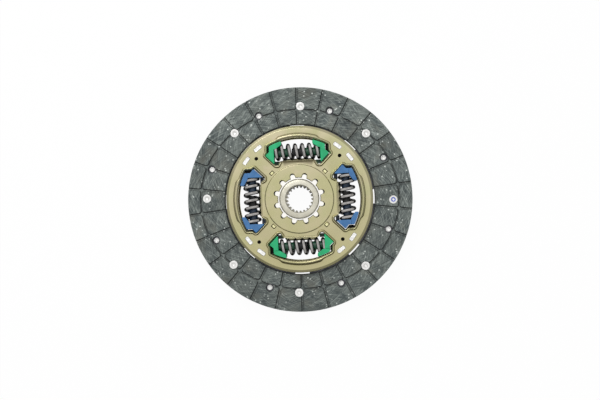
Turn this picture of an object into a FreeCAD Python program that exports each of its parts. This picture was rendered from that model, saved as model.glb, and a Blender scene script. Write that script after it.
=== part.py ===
import FreeCAD
import Part
import math
import os

# A sprung clutch disc, in millimetres. It lies on the rear end of its hub, with +Z along its axis towards
# the cover plate's side. Two grooved friction facings are riveted to eight waved cushion segments, and the
# segments to the disc plate. The disc plate and the cover plate are joined by eight flat spacer rivets. The
# hub's four-armed flange lies between the two plates and drives them through four coil springs, which sit
# between plastic seats in the plates' windows.

V = FreeCAD.Vector
AXIS = V(0, 0, 1)

# Heights of the layers
CUSHION_PLANE = 12.0        # middle of the cushion segments above the hub's rear end
HUB_LENGTH = 24.0
SEGMENT_T = 0.8
CUSHION_WAVE = 0.8          # how much thicker than its sheet the waved segment is
FACING_T = 3.4
DISC_PLATE_T = 2.0
COVER_T = 1.8
REAR_WASHER_T = 1.2         # the rear bush's flange, between disc plate and hub flange
FLANGE_T = 5.6
FRONT_WASHER_T = 0.9        # the front bush's flange, on the hub flange
THRUST_T = 0.6
CONE_SPRING_H = 1.0
DOME_RISE = 0.9             # how far the cover's middle stands above the rest of it

FACING_BACK = CUSHION_PLANE + (SEGMENT_T + CUSHION_WAVE) / 2
DISC_PLATE_TOP = CUSHION_PLANE - SEGMENT_T / 2
DISC_PLATE_LOW = DISC_PLATE_TOP - DISC_PLATE_T
FLANGE_LOW = DISC_PLATE_TOP + REAR_WASHER_T
FLANGE_TOP = FLANGE_LOW + FLANGE_T
SPRING_PLANE = (FLANGE_LOW + FLANGE_TOP) / 2
THRUST_LOW = FLANGE_TOP + FRONT_WASHER_T
CONE_LOW = THRUST_LOW + THRUST_T
DOME_LOW = CONE_LOW + CONE_SPRING_H
DOME_TOP = DOME_LOW + COVER_T
COVER_LOW = DOME_LOW - DOME_RISE
COVER_TOP = COVER_LOW + COVER_T

# Facings
FACING_OD = 224.0
FACING_ID = 150.0
GROOVES = 26
GROOVE_W = 2.0
GROOVE_DEPTH = 0.9
GROOVE_ANGLE = 8.6
OVAL_LONG = 98.9            # half axes of the oval groove
OVAL_SHORT = 89.4
OVAL_W = 1.3
BLOCK_CORNER = 2.4          # rounding of the blocks where two grooves cross

# Facing rivets
RIVETS = 8
RIVET_CIRCLE_R = 93.1
RIVET_ANGLE = -0.3          # the rivets whose heads are on the front facing
TAIL_ANGLE = 26.3           # those whose heads are on the rear facing
RIVET_HEAD_D = 8.6
RIVET_HEAD_T = 1.1
RIVET_HEAD_SINK = 0.9       # head below the facing's face
RIVET_SHANK_D = 4.2
RIVET_TAIL_D = 5.6
RIVET_TAIL_T = 1.2
RIVET_BORE_D = 2.6          # the hollow end that is rolled over
RIVET_HOLE_PLAY = 0.05
RIVET_DIMPLE = 0.4          # depth of the dimple in the head
RIVET_EDGE = 0.3            # bevel of the head and of its dimple
RIVET_ROLL = 0.2            # bevel outside the rolled end
RIVET_MOUTH = 0.5           # width of the rolled end's rounded mouth
HEAD_RECESS_PLAY = 0.3
TAIL_HOLE_D = 8.2

# Cushion segments
SEGMENTS = 8
FOOT_INNER_R = 67.6
FOOT_OUTER_R = 77.0
FOOT_SPAN = 34.0            # degrees
PADDLE_INNER_R = 79.6
PADDLE_OUTER_R = 110.4
PADDLE_GAP = 2.4            # degrees between neighbouring paddles
NECK_SPAN = 22.0
NECK_ROUND = 1.5
WAVE_FLAT = 10.0            # width of the flat under each facing rivet
SEGMENT_RIVET_R = 70.3
SEGMENT_RIVET_STEP = 20.0   # degrees between the two rivets of a foot
SEGMENT_RIVET_D = 3.6
SEGMENT_RIVET_HEAD_D = 5.2
SEGMENT_RIVET_HEAD_T = 1.2
NECK_OVERLAP = 2.0          # how far the neck runs into foot and paddle

# Damper
WINDOWS = 4
WINDOW_ANGLE = 2.1
SPRING_R = 47.4             # from the disc's axis to a spring's axis
SPRING_OD = 17.0
SPRING_WIRE = 3.8
SPRING_PITCH = 6.95
SPRING_LENGTH = 46.0
SPRING_PHASES = (0.0, 0.0, 40.0, 140.0)
SEAT_HEIGHT = 18.0
SEAT_BACK_T = 4.8
NOSE_REACH = 4.0
NOSE_DROP = 3.2             # nose tip below the spring's axis
HEEL_DROP = 12.0
NOSE_TOP = 0.2              # upper end of the nose above the spring's axis
ARM_LENGTH = 7.5            # the arm's reach over the spring
ARM_LIP = 7.0               # arm's inner edge at its tip, above the spring's axis
ARM_ROOT = 2.8              # and at its root
SEAT_ROUND = 0.7
SPRING_PLAY = 0.2           # between spring and seat
PEG_D = 8.0
PEG_LENGTH = 16.0
PEG_TAPER = 1.2
STOPPER_LENGTH = 11.0
STOPPER_D = 8.4
STOPPER_WAIST_D = 6.4
STOPPER_EDGE = 0.5
SEAT_PLAY = 0.4             # between seat and window
WINDOW_OUTER_R = 61.4
WINDOW_END_GAP = 2.8        # from a seat's back to the plates' window end
WINDOW_INNER_Y = 37.3
CHORD_HALF = 17.6
LOBE_HALF = 20.0
LOBE_Y = 34.0
NOTCH_RISE = 2.6            # height of the notch for the nose, above its tip
LIP_END_W = 2.2
LIP_OUTER_W = 4.4
LIP_END_H = 0.9
LIP_OUTER_H = 2.4
LIP_SLOPE = 1.8
LIP_REACH = 3.0             # how far the lip's blank runs in over the window
LIP_END_STEP = 1.0          # degrees by which the lip stops short of the window's ends
LIP_HOLLOW_STEP = 3.0       # and the hollow behind it
LIP_CHAMFER_SHARE = 0.8     # of the raised edge's height
WINDOW_ROUND = 1.4

# Plates
PLATE_OD = 146.0
RIM_BEND_R = 2.5
RIM_DROP = 4.4
DOME_R = 34.6
DOME_SLOPE = 0.9
PLATE_BORE_D = 43.0
BUSH_LUGS = 12
BUSH_LUG_ANGLE = 15.0       # from a window's middle
NOTCH_W = 5.5
NOTCH_OUTER_R = 26.0
PIN_HOLE_D = 3.6
PIN_HOLE_R = 58.5

# Spacer rivets
SPACER_R = 64.9
SPACER_HALF_ANGLE = 7.45    # each side of the middle between two windows
SPACER_TENON_L = 8.7
SPACER_TENON_W = 3.7
SPACER_SHOULDER = 0.5
SPACER_HEAD_T = 0.4
SPACER_SLOT_PLAY = 0.15
SPACER_ROUND_SHARE = 0.6    # of the spacer's half width
SPACER_STAKE_SHARE = 0.7    # of the staked end's height, as its chamfer

# Hub
SPLINES = 21
SPLINE_MAJOR_D = 27.0
SPLINE_MINOR_D = 23.6
SPLINE_TOOTH_SHARE = 0.46   # of the pitch, at the tooth's root
SPLINE_TIP_SHARE = 0.32
HUB_D = 38.6
HUB_CHAMFER = 0.7
BORE_CHAMFER = 1.0
FLANGE_R = 61.6
FLANGE_SEAT_PLAY = 0.3
ARM_ROUND = 2.0

# Bushes, washers and thrust ring
BUSH_PLAY = 0.08            # on the hub
BUSH_WALL = 2.0
BUSH_LUG_W = 4.2
BUSH_LUG_R = 24.0
BUSH_FLANGE_R = 31.5
BUSH_STAND = 0.25           # bush above the plate round it
THRUST_INNER_R = 22.4
THRUST_OUTER_R = 33.2
THRUST_LUGS = 4
THRUST_LUG_R = 37.3         # middle of the bent-up lug
THRUST_LUG_W = 3.4
THRUST_LUG_T = 2.4
THRUST_SLOT_PLAY = 0.6
THRUST_LUG_STAND = 0.3
THRUST_LUG_EDGE = 0.4
THRUST_ARM_OVERLAP = 2.0    # how far a lug's arm runs in over the ring
CONE_INNER_R = 24.8
CONE_OUTER_R = 33.0
CONE_T = 0.5

PAST = 1.0                  # how far a cutting shape runs past what it cuts
CLOSE = 0.01                # what counts as the same height or place

BETWEEN_WINDOWS = WINDOW_ANGLE + 180.0 / WINDOWS
SPRING_HALF = SPRING_LENGTH / 2
STEP_X = SPRING_HALF + SEAT_BACK_T
TIP_X = STEP_X + NOSE_REACH
TIP_Y = SPRING_R - NOSE_DROP
HEEL_Y = SPRING_R - HEEL_DROP
HEEL_SLOPE = (TIP_X - SPRING_HALF) / (TIP_Y - HEEL_Y)


# Shapes used all over

def turned(shape, angle):
    copy = shape.copy()
    copy.rotate(V(0, 0, 0), AXIS, angle)
    return copy


def around(shape, count, first=0.0):
    return [turned(shape, first + n * 360.0 / count) for n in range(count)]


def disc(radius, low, high, x=0.0, y=0.0):
    return Part.makeCylinder(radius, high - low, V(x, y, low))


def ring(inner, outer, low, high):
    return disc(outer, low, high).cut(disc(inner, low, high))


def block(x0, x1, y0, y1, low, high):
    return Part.makeBox(x1 - x0, y1 - y0, high - low, V(x0, y0, low))


def raised(edges, low, high):
    """The solid over a flat outline drawn at height 0."""
    face = Part.Face(Part.Wire(edges))
    face.translate(V(0, 0, low))
    return face.extrude(V(0, 0, high - low))


def lines(points):
    """Straight edges through flat points, without the closing one."""
    return [Part.makeLine(V(*a, 0), V(*b, 0)) for a, b in zip(points, points[1:])]


def arc(radius, start, stop):
    """An arc about the axis, from one angle to another."""
    def on(angle):
        a = math.radians(angle)
        return V(radius * math.cos(a), radius * math.sin(a), 0)
    return Part.Arc(on(start), on((start + stop) / 2), on(stop)).toShape()


def sector(inner, outer, start, stop, low, high):
    """A piece of a flat ring between two angles."""
    rim = arc(outer, start, stop)
    bore = arc(inner, stop, start)
    ends = [Part.makeLine(rim.valueAt(rim.LastParameter), bore.valueAt(bore.FirstParameter))]
    ends.append(Part.makeLine(bore.valueAt(bore.LastParameter), rim.valueAt(rim.FirstParameter)))
    return raised([rim, ends[0], bore, ends[1]], low, high)


def spun(points):
    """A turned solid from (radius, height) points."""
    corners = [V(r, 0, z) for r, z in points]
    face = Part.Face(Part.makePolygon(corners + corners[:1]))
    return face.revolve(V(0, 0, 0), AXIS, 360)


def upright_edges(solid, test):
    """Edges that stand along the axis and whose place passes the test."""
    found = []
    for edge in solid.Edges:
        low, high = edge.BoundBox.ZMin, edge.BoundBox.ZMax
        here = edge.CenterOfMass
        if abs(edge.Length - (high - low)) < 1e-6 and test(here.x, here.y):
            found.append(edge)
    return found


def group(solids):
    return Part.makeCompound(solids)


# Facings and what holds them

def oval(grow, low, high):
    edge = Part.Ellipse(V(0, 0, 0), OVAL_LONG + grow, OVAL_SHORT + grow).toShape()
    return raised([edge], low, high)


def oval_radius(angle):
    a = math.radians(angle)
    return OVAL_LONG * OVAL_SHORT / math.hypot(OVAL_SHORT * math.cos(a), OVAL_LONG * math.sin(a))


def crossing(angle, low, high):
    """What rounds the four blocks' corners where a straight groove crosses the oval one."""
    half_long = OVAL_W / 2
    half_wide = GROOVE_W / 2
    far = BLOCK_CORNER
    inset = far * (1 - math.sqrt(0.5))
    edges = []
    for x, y in ((1, 1), (-1, 1), (-1, -1), (1, -1)):
        ends = [V(x * (half_long + far), y * half_wide, 0), V(x * half_long, y * (half_wide + far), 0)]
        if x * y < 0:
            ends.reverse()
        middle = V(x * (half_long + inset), y * (half_wide + inset), 0)
        edges.append(Part.Arc(ends[0], middle, ends[1]).toShape())
    joined = []
    for n, edge in enumerate(edges):
        joined.append(edge)
        start = edge.valueAt(edge.LastParameter)
        stop = edges[(n + 1) % 4].valueAt(edges[(n + 1) % 4].FirstParameter)
        joined.append(Part.makeLine(start, stop))
    star = raised(joined, low, high)
    star.translate(V(oval_radius(angle), 0, 0))
    return turned(star, angle)


def facing():
    """The front facing: a flat ring with grooves, rivet seats and holes for the other facing's rivets."""
    top = FACING_BACK + FACING_T
    floor = top - GROOVE_DEPTH
    over = top + PAST
    body = ring(FACING_ID / 2, FACING_OD / 2, FACING_BACK, top)
    groove = block(FACING_ID / 2 - PAST, FACING_OD / 2 + PAST, -GROOVE_W / 2, GROOVE_W / 2, floor, over)
    cuts = around(groove, GROOVES, GROOVE_ANGLE)
    cuts.append(oval(OVAL_W / 2, floor, over).cut(oval(-OVAL_W / 2, floor, over)))
    cuts += [crossing(GROOVE_ANGLE + n * 360.0 / GROOVES, floor, over) for n in range(GROOVES)]
    seat = disc(RIVET_HEAD_D / 2 + HEAD_RECESS_PLAY, rivet_seat_height(), over, RIVET_CIRCLE_R)
    hole = disc(RIVET_SHANK_D / 2 + RIVET_HOLE_PLAY, FACING_BACK - PAST, over, RIVET_CIRCLE_R)
    cuts += around(seat.fuse(hole), RIVETS, RIVET_ANGLE)
    cuts += around(disc(TAIL_HOLE_D / 2, FACING_BACK - PAST, over, RIVET_CIRCLE_R), RIVETS, TAIL_ANGLE)
    return body.cut(cuts)


def rear_facing(front):
    """The same facing turned over, so that heads and tails change places."""
    back = front.copy()
    back.rotate(V(0, 0, CUSHION_PLANE), V(1, 0, 0), 180)
    return turned(back, TAIL_ANGLE + RIVET_ANGLE)


def rivet_seat_height():
    return FACING_BACK + FACING_T - RIVET_HEAD_SINK - RIVET_HEAD_T


def facing_rivet():
    """A rivet with its head on the front facing and its hollow end rolled over behind the segment."""
    head_low = rivet_seat_height()
    head_top = head_low + RIVET_HEAD_T
    back = FACING_BACK - SEGMENT_T
    end = back - RIVET_TAIL_T
    shank = RIVET_SHANK_D / 2
    hollow = RIVET_BORE_D / 2
    head = RIVET_HEAD_D / 2
    tail = RIVET_TAIL_D / 2
    dimple = head_top - RIVET_DIMPLE
    profile = [(0, dimple), (hollow, dimple), (hollow + RIVET_EDGE, head_top), (head - RIVET_EDGE, head_top),
               (head, head_top - RIVET_EDGE), (head, head_low), (shank, head_low), (shank, back),
               (tail, back), (tail - RIVET_ROLL, end + RIVET_ROLL), (hollow + RIVET_MOUTH, end),
               (hollow, end + RIVET_MOUTH), (hollow, back), (0, back)]
    rivet = spun(profile)
    rivet.translate(V(RIVET_CIRCLE_R, 0, 0))
    return rivet


def front_rivets():
    return group(around(facing_rivet(), RIVETS, RIVET_ANGLE))


def rear_rivets():
    back = facing_rivet().mirror(V(0, 0, CUSHION_PLANE), AXIS)
    return group(around(back, RIVETS, TAIL_ANGLE))


def cushion_segment():
    """One segment, with its foot centred on angle 0: a flat foot and a waved paddle beside it."""
    paddle_middle = (TAIL_ANGLE + RIVET_ANGLE + 360.0 / RIVETS) / 2 - foot_angle(0)
    paddle_half = (360.0 / SEGMENTS - PADDLE_GAP) / 2
    start = paddle_middle - paddle_half
    low = CUSHION_PLANE - SEGMENT_T / 2
    high = CUSHION_PLANE + SEGMENT_T / 2
    room = SEGMENT_T + CUSHION_WAVE
    foot = sector(FOOT_INNER_R, FOOT_OUTER_R, -FOOT_SPAN / 2, FOOT_SPAN / 2, low, high)
    neck_stop = FOOT_SPAN / 2 - NECK_ROUND
    neck = sector(FOOT_OUTER_R - NECK_OVERLAP, PADDLE_INNER_R + NECK_OVERLAP, neck_stop - NECK_SPAN, neck_stop,
                  low, high)
    paddle = sector(PADDLE_INNER_R, PADDLE_OUTER_R, start, start + 2 * paddle_half, low - room, high + room)
    paddle = paddle.common(turned(waved_sheet(), paddle_middle))
    body = foot.fuse([neck, paddle]).removeSplitter()
    holes = []
    for angle in (RIVET_ANGLE + 360.0 / RIVETS, TAIL_ANGLE):
        hole = disc(RIVET_SHANK_D / 2 + RIVET_HOLE_PLAY, low - room, high + room, RIVET_CIRCLE_R)
        holes.append(turned(hole, angle - foot_angle(0)))
    hole = disc(SEGMENT_RIVET_D / 2 + RIVET_HOLE_PLAY, low - room, high + room, SEGMENT_RIVET_R)
    holes += [turned(hole, side * SEGMENT_RIVET_STEP / 2) for side in (-1, 1)]
    return body.cut(holes)


def foot_angle(n):
    """Angle of a segment's foot. The gaps between the feet line up with the windows."""
    return WINDOW_ANGLE + (n + 0.5) * 360.0 / SEGMENTS


def waved_sheet():
    """The paddle's waved sheet along X: low under the rear facing's rivet, high under the front one's."""
    half_step = math.radians((RIVET_ANGLE + 360.0 / RIVETS - TAIL_ANGLE) / 2)
    rivet_y = RIVET_CIRCLE_R * math.sin(half_step)
    flat = WAVE_FLAT / 2
    edge = rivet_y + flat
    far = 3 * rivet_y
    swing = CUSHION_WAVE / 2
    middle = [(-far, swing), (-edge, -swing), (flat - rivet_y, -swing)]
    middle += [(rivet_y - flat, swing), (edge, swing), (far, -swing)]
    over = [(y, CUSHION_PLANE + z + SEGMENT_T / 2) for y, z in middle]
    under = [(y, CUSHION_PLANE + z - SEGMENT_T / 2) for y, z in reversed(middle)]
    corners = [V(FOOT_INNER_R, y, z) for y, z in over + under]
    return Part.Face(Part.makePolygon(corners + corners[:1])).extrude(V(FACING_OD / 2, 0, 0))


def segment_rivets():
    """Two rivets through each foot and the disc plate."""
    low = DISC_PLATE_LOW
    high = CUSHION_PLANE + SEGMENT_T / 2
    shank = SEGMENT_RIVET_D / 2
    head = SEGMENT_RIVET_HEAD_D / 2
    bevel = SEGMENT_RIVET_HEAD_T / 2
    profile = [(0, low - 2 * bevel), (head - bevel, low - 2 * bevel), (head, low - bevel), (head, low),
               (shank, low), (shank, high), (head, high), (head, high + bevel),
               (head - bevel, high + 2 * bevel), (0, high + 2 * bevel)]
    rivet = spun(profile)
    rivet.translate(V(SEGMENT_RIVET_R, 0, 0))
    solids = []
    for n in range(SEGMENTS):
        solids += [turned(rivet, foot_angle(n) + side * SEGMENT_RIVET_STEP / 2) for side in (-1, 1)]
    return group(solids)


# Windows, drawn with their middle on +Y

def window(low, high, end_x, notch_rise, outer_r, end_grow=0.0, diag_grow=0.0, outer_grow=0.0):
    """A window's opening, or the field of its raised edge when it is grown."""
    slant = (SEAT_PLAY + diag_grow) * math.sqrt(2)
    lobe_y = LOBE_Y - diag_grow
    radius = outer_r + outer_grow
    end = end_x + end_grow
    corner_y = math.sqrt(radius ** 2 - end ** 2)
    right = [(CHORD_HALF, WINDOW_INNER_Y), (LOBE_HALF - diag_grow / 2, lobe_y),
             (SPRING_HALF + slant - (HEEL_Y - lobe_y) * HEEL_SLOPE, lobe_y),
             (TIP_X + slant, TIP_Y), (end, TIP_Y + notch_rise), (end, corner_y)]
    left = [(-x, y) for x, y in right]
    top = Part.Arc(V(*right[-1], 0), V(0, radius, 0), V(*left[-1], 0)).toShape()
    edges = lines(right) + [top] + lines(left[::-1]) + lines([left[0], right[0]])
    return raised(edges, low, high)


def plate_window(low, high, **grow):
    """The plates' window, with its outer corners and lobes rounded."""
    opening = window(low, high, SPRING_HALF + SEAT_BACK_T + WINDOW_END_GAP, NOTCH_RISE, WINDOW_OUTER_R, **grow)
    corners = upright_edges(opening, lambda x, y: y > SPRING_R or (y < HEEL_Y + PAST and abs(x) > LOBE_HALF))
    return opening.makeFillet(WINDOW_ROUND, corners)


def window_edges(face, t):
    """The raised edge round a window on a plate whose outer face is at this height, before it is opened."""
    outer = {"end_grow": LIP_END_W, "diag_grow": LIP_END_W, "outer_grow": LIP_OUTER_W}
    field = plate_window(face - t / 2, face + LIP_END_H, **outer)
    rim = [e for e in field.Edges if e.BoundBox.ZMin > face + LIP_END_H - CLOSE]
    rim = [e for e in rim if e.CenterOfMass.y > WINDOW_INNER_Y + CLOSE or abs(e.CenterOfMass.x) > LOBE_HALF]
    field = field.makeChamfer(LIP_END_H * LIP_CHAMFER_SHARE, rim)
    return field.fuse(outer_lip(face, t))


def outer_lip(face, t):
    """The lip that stands up along a window's outer edge and keeps the spring in."""
    half = math.degrees(math.asin((STEP_X + WINDOW_END_GAP) / WINDOW_OUTER_R)) - LIP_END_STEP
    inner = WINDOW_OUTER_R - LIP_REACH
    foot = WINDOW_OUTER_R + LIP_OUTER_W
    crest = foot - LIP_SLOPE
    top = face + LIP_OUTER_H
    profile = [(inner, face - t / 2), (foot, face - t / 2), (foot, face), (crest, top), (inner, top)]
    corners = [V(r, 0, z) for r, z in profile]
    body = Part.Face(Part.makePolygon(corners + corners[:1]))
    body = body.revolve(V(0, 0, 0), AXIS, 2 * half)
    return turned(body, 90 - half)


def lip_hollow(face, t):
    """What the outer lip leaves open behind it, so that it is a bent sheet."""
    half = math.degrees(math.asin((STEP_X + WINDOW_END_GAP) / WINDOW_OUTER_R)) - LIP_HOLLOW_STEP
    inner = WINDOW_OUTER_R - LIP_REACH
    foot = WINDOW_OUTER_R + LIP_OUTER_W - t
    back = face - t
    profile = [(inner, back - PAST), (foot, back - PAST), (foot, back),
               (foot - LIP_SLOPE + t / 2, back + LIP_OUTER_H), (inner, back + LIP_OUTER_H)]
    corners = [V(r, 0, z) for r, z in profile]
    body = Part.Face(Part.makePolygon(corners + corners[:1]))
    body = body.revolve(V(0, 0, 0), AXIS, 2 * half)
    return turned(body, 90 - half)


def with_windows(plate, face, t):
    """A plate with its four raised-edged windows, seen with the outer face up."""
    turns = WINDOW_ANGLE - 90
    body = plate.fuse(around(window_edges(face, t), WINDOWS, turns))
    body = body.cut(around(lip_hollow(face, t), WINDOWS, turns))
    opening = plate_window(face - t - PAST, face + LIP_OUTER_H + PAST)
    return body.cut(around(opening, WINDOWS, turns))


# Plates

def bush_notches(low, high):
    """Round-ended notches round a plate's bore, one for each lug of the bush."""
    middle = NOTCH_OUTER_R - NOTCH_W / 2
    slot = block(0, middle, -NOTCH_W / 2, NOTCH_W / 2, low, high)
    notch = slot.fuse(disc(NOTCH_W / 2, low, high, middle))
    return around(notch, BUSH_LUGS, WINDOW_ANGLE + BUSH_LUG_ANGLE)


def spacer_places(shape):
    """A shape beside the middle between each two windows, on both sides."""
    return [turned(s, side * SPACER_HALF_ANGLE)
            for s in around(shape, WINDOWS, BETWEEN_WINDOWS) for side in (-1, 1)]


def spacer_bar(grow, low, high):
    half_w = SPACER_TENON_W / 2 + grow
    half_l = SPACER_TENON_L / 2 + grow
    bar = block(SPACER_R - half_w, SPACER_R + half_w, -half_l, half_l, low, high)
    return bar.makeFillet(half_w * SPACER_ROUND_SHARE, upright_edges(bar, lambda x, y: True))


def plate_holes(low, high):
    """Holes that both plates have: bore, notches, spacer slots and locating holes."""
    holes = [disc(PLATE_BORE_D / 2, low, high)]
    holes += bush_notches(low, high)
    holes += spacer_places(spacer_bar(SPACER_SLOT_PLAY, low, high))
    holes += around(disc(PIN_HOLE_D / 2, low, high, PIN_HOLE_R), WINDOWS, BETWEEN_WINDOWS)
    return holes


def disc_plate():
    """The rear plate, which carries the cushion segments. Its window edges stand to the rear."""
    flat = disc(PLATE_OD / 2, DISC_PLATE_LOW, DISC_PLATE_TOP)
    mirrored = flat.mirror(V(0, 0, CUSHION_PLANE), AXIS)
    face = 2 * CUSHION_PLANE - DISC_PLATE_LOW
    body = with_windows(mirrored, face, DISC_PLATE_T).mirror(V(0, 0, CUSHION_PLANE), AXIS)
    low = DISC_PLATE_LOW - PAST
    high = DISC_PLATE_TOP + PAST
    hole = disc(SEGMENT_RIVET_D / 2 + RIVET_HOLE_PLAY, low, high, SEGMENT_RIVET_R)
    holes = plate_holes(low, high)
    for n in range(SEGMENTS):
        holes += [turned(hole, foot_angle(n) + side * SEGMENT_RIVET_STEP / 2) for side in (-1, 1)]
    return body.cut(holes)


def bend(middle_r, middle_z, radius):
    """A quarter bend from straight up to straight out, in the plane of radius and height."""
    slant = radius * math.sqrt(0.5)
    return Part.Arc(V(middle_r, 0, middle_z + radius),
                    V(middle_r + slant, 0, middle_z + slant),
                    V(middle_r + radius, 0, middle_z)).toShape()


def cover_sheet():
    """The cover before its openings: a raised middle, a flat field and a rim bent down."""
    rim = PLATE_OD / 2
    bend_r = rim - RIM_BEND_R
    bend_z = COVER_TOP - RIM_BEND_R
    dome = DOME_R - DOME_SLOPE
    end = COVER_TOP - RIM_DROP
    over = [(0, DOME_TOP), (dome, DOME_TOP), (DOME_R, COVER_TOP), (bend_r, COVER_TOP)]
    edge = [(rim, bend_z), (rim, end), (rim - COVER_T, end), (rim - COVER_T, bend_z)]
    under = [(bend_r, COVER_LOW), (DOME_R, COVER_LOW), (dome, DOME_LOW), (0, DOME_LOW), (0, DOME_TOP)]
    edges = []
    for run in (over, edge, under):
        edges += [Part.makeLine(V(a, 0, b), V(c, 0, d)) for (a, b), (c, d) in zip(run, run[1:])]
    edges.insert(len(over) - 1, bend(bend_r, bend_z, RIM_BEND_R))
    edges.insert(len(over) + len(edge) - 1, bend(bend_r, bend_z, RIM_BEND_R - COVER_T))
    return Part.Face(Part.Wire(edges)).revolve(V(0, 0, 0), AXIS, 360)


def cover_plate():
    """The front plate, with its windows and holes and the slots for the thrust ring's lugs."""
    body = with_windows(cover_sheet(), COVER_TOP, COVER_T)
    low = COVER_LOW - PAST
    high = DOME_TOP + PAST
    wide = THRUST_LUG_W / 2 + THRUST_SLOT_PLAY
    deep = THRUST_LUG_T / 2 + THRUST_SLOT_PLAY
    slot = block(THRUST_LUG_R - deep, THRUST_LUG_R + deep, -wide, wide, low, high)
    return body.cut(plate_holes(low, high) + around(slot, THRUST_LUGS, BETWEEN_WINDOWS))


def spacer_rivets():
    """Flat spacers with a shoulder between the plates and a tenon staked over at each end."""
    shoulder = spacer_bar(SPACER_SHOULDER, DISC_PLATE_TOP, COVER_LOW)
    tenon = spacer_bar(0, DISC_PLATE_LOW - SPACER_HEAD_T, COVER_TOP + SPACER_HEAD_T)
    spacer = shoulder.fuse(tenon).removeSplitter()
    ends = [e for e in spacer.Edges
            if e.BoundBox.ZMin > COVER_TOP + CLOSE or e.BoundBox.ZMax < DISC_PLATE_LOW - CLOSE]
    return group(spacer_places(spacer.makeChamfer(SPACER_HEAD_T * SPACER_STAKE_SHARE, ends)))


# Hub

def spline_bore(low, high):
    """The bore between the splines' teeth."""
    pitch = 360.0 / SPLINES
    root = pitch * SPLINE_TOOTH_SHARE / 2
    tip = pitch * SPLINE_TIP_SHARE / 2
    major = SPLINE_MAJOR_D / 2
    minor = SPLINE_MINOR_D / 2
    edges = []
    for n in range(SPLINES):
        tooth = n * pitch
        edges.append(arc(minor, tooth - tip, tooth + tip))
        space = arc(major, tooth + root, tooth + pitch - root)
        edges.append(Part.makeLine(edges[-1].valueAt(edges[-1].LastParameter),
                                   space.valueAt(space.FirstParameter)))
        edges.append(space)
        following = arc(minor, tooth + pitch - tip, tooth + pitch)
        edges.append(Part.makeLine(space.valueAt(space.LastParameter),
                                   following.valueAt(following.FirstParameter)))
    return raised(edges, low, high)


def flange_window():
    """The open window between two arms, where each arm's side seats a nose and a back."""
    notch = (STEP_X + FLANGE_SEAT_PLAY, NOSE_TOP + NOSE_DROP + SEAT_PLAY)
    return window(FLANGE_LOW - PAST, FLANGE_TOP + PAST, notch[0], notch[1], PLATE_OD / 2)


def hub():
    """The splined barrel and the four-armed flange, forged as one piece."""
    outer = HUB_D / 2
    mouth = SPLINE_MAJOR_D / 2 + BORE_CHAMFER / 2
    barrel = spun([(0, 0), (outer - HUB_CHAMFER, 0), (outer, HUB_CHAMFER), (outer, HUB_LENGTH - HUB_CHAMFER),
                   (outer - HUB_CHAMFER, HUB_LENGTH), (0, HUB_LENGTH)])
    arms = disc(FLANGE_R, FLANGE_LOW, FLANGE_TOP).cut(around(flange_window(), WINDOWS, WINDOW_ANGLE - 90))
    tips = upright_edges(arms, lambda x, y: math.hypot(x, y) > FLANGE_R - CLOSE)
    arms = arms.makeFillet(ARM_ROUND, tips)
    cone_low = Part.makeCone(mouth, mouth - 2 * BORE_CHAMFER, 2 * BORE_CHAMFER)
    cone_high = cone_low.mirror(V(0, 0, HUB_LENGTH / 2), AXIS)
    return barrel.fuse(arms).cut([spline_bore(-PAST, HUB_LENGTH + PAST), cone_low, cone_high])


# Bushes and washers

def bush(flange_low, flange_high, sleeve_low, sleeve_high, lug_low, lug_high):
    """A plastic bush: a friction flange, a sleeve on the hub and lugs that lock it in a plate's bore."""
    inner = HUB_D / 2 + BUSH_PLAY
    sleeve = inner + BUSH_WALL
    body = disc(BUSH_FLANGE_R, flange_low, flange_high).fuse(disc(sleeve, sleeve_low, sleeve_high))
    tip = BUSH_LUG_R - BUSH_LUG_W / 2
    lug = block(inner, tip, -BUSH_LUG_W / 2, BUSH_LUG_W / 2, lug_low, lug_high)
    lug = lug.fuse(disc(BUSH_LUG_W / 2, lug_low, lug_high, tip))
    body = body.fuse(around(lug, BUSH_LUGS, WINDOW_ANGLE + BUSH_LUG_ANGLE))
    return body.cut(disc(inner, sleeve_low - PAST, sleeve_high + PAST)).removeSplitter()


def bush_front():
    top = DOME_TOP + BUSH_STAND
    return bush(FLANGE_TOP, FLANGE_TOP + FRONT_WASHER_T, FLANGE_TOP, top, DOME_LOW, DOME_TOP)


def bush_rear():
    low = DISC_PLATE_LOW - BUSH_STAND
    return bush(DISC_PLATE_TOP, FLANGE_LOW, low, FLANGE_LOW, DISC_PLATE_LOW, DISC_PLATE_TOP)


def thrust_ring():
    """A thin ring under the cone spring, with four lugs bent up through the cover's slots."""
    flat = disc(THRUST_OUTER_R, THRUST_LOW, CONE_LOW)
    reach = THRUST_LUG_R + THRUST_LUG_T / 2
    half = THRUST_LUG_W / 2
    inner = THRUST_INNER_R + THRUST_ARM_OVERLAP
    arm = block(inner, reach, -half, half, THRUST_LOW, CONE_LOW - SPRING_PLAY / 2)
    lug = block(reach - THRUST_LUG_T, reach, -half, half, THRUST_LOW, COVER_TOP + THRUST_LUG_STAND)
    lug = lug.makeFillet(THRUST_LUG_EDGE, [e for e in lug.Edges if e.BoundBox.ZMin > COVER_TOP])
    body = flat.fuse(around(arm.fuse(lug), THRUST_LUGS, BETWEEN_WINDOWS))
    return body.cut(disc(THRUST_INNER_R, THRUST_LOW - PAST, CONE_LOW + PAST)).removeSplitter()


def cone_spring():
    """A dished spring washer between thrust ring and cover."""
    return spun([(CONE_INNER_R, DOME_LOW - CONE_T), (CONE_OUTER_R, CONE_LOW),
                 (CONE_OUTER_R, CONE_LOW + CONE_T), (CONE_INNER_R, DOME_LOW)])


# Springs, drawn along X with the window's middle on +Y

def along_x(shape):
    """Lays a shape made about Z on the spring's axis."""
    copy = shape.copy()
    copy.rotate(V(0, 0, 0), V(0, 1, 0), 90)
    copy.translate(V(0, SPRING_R, SPRING_PLANE))
    return copy


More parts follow.
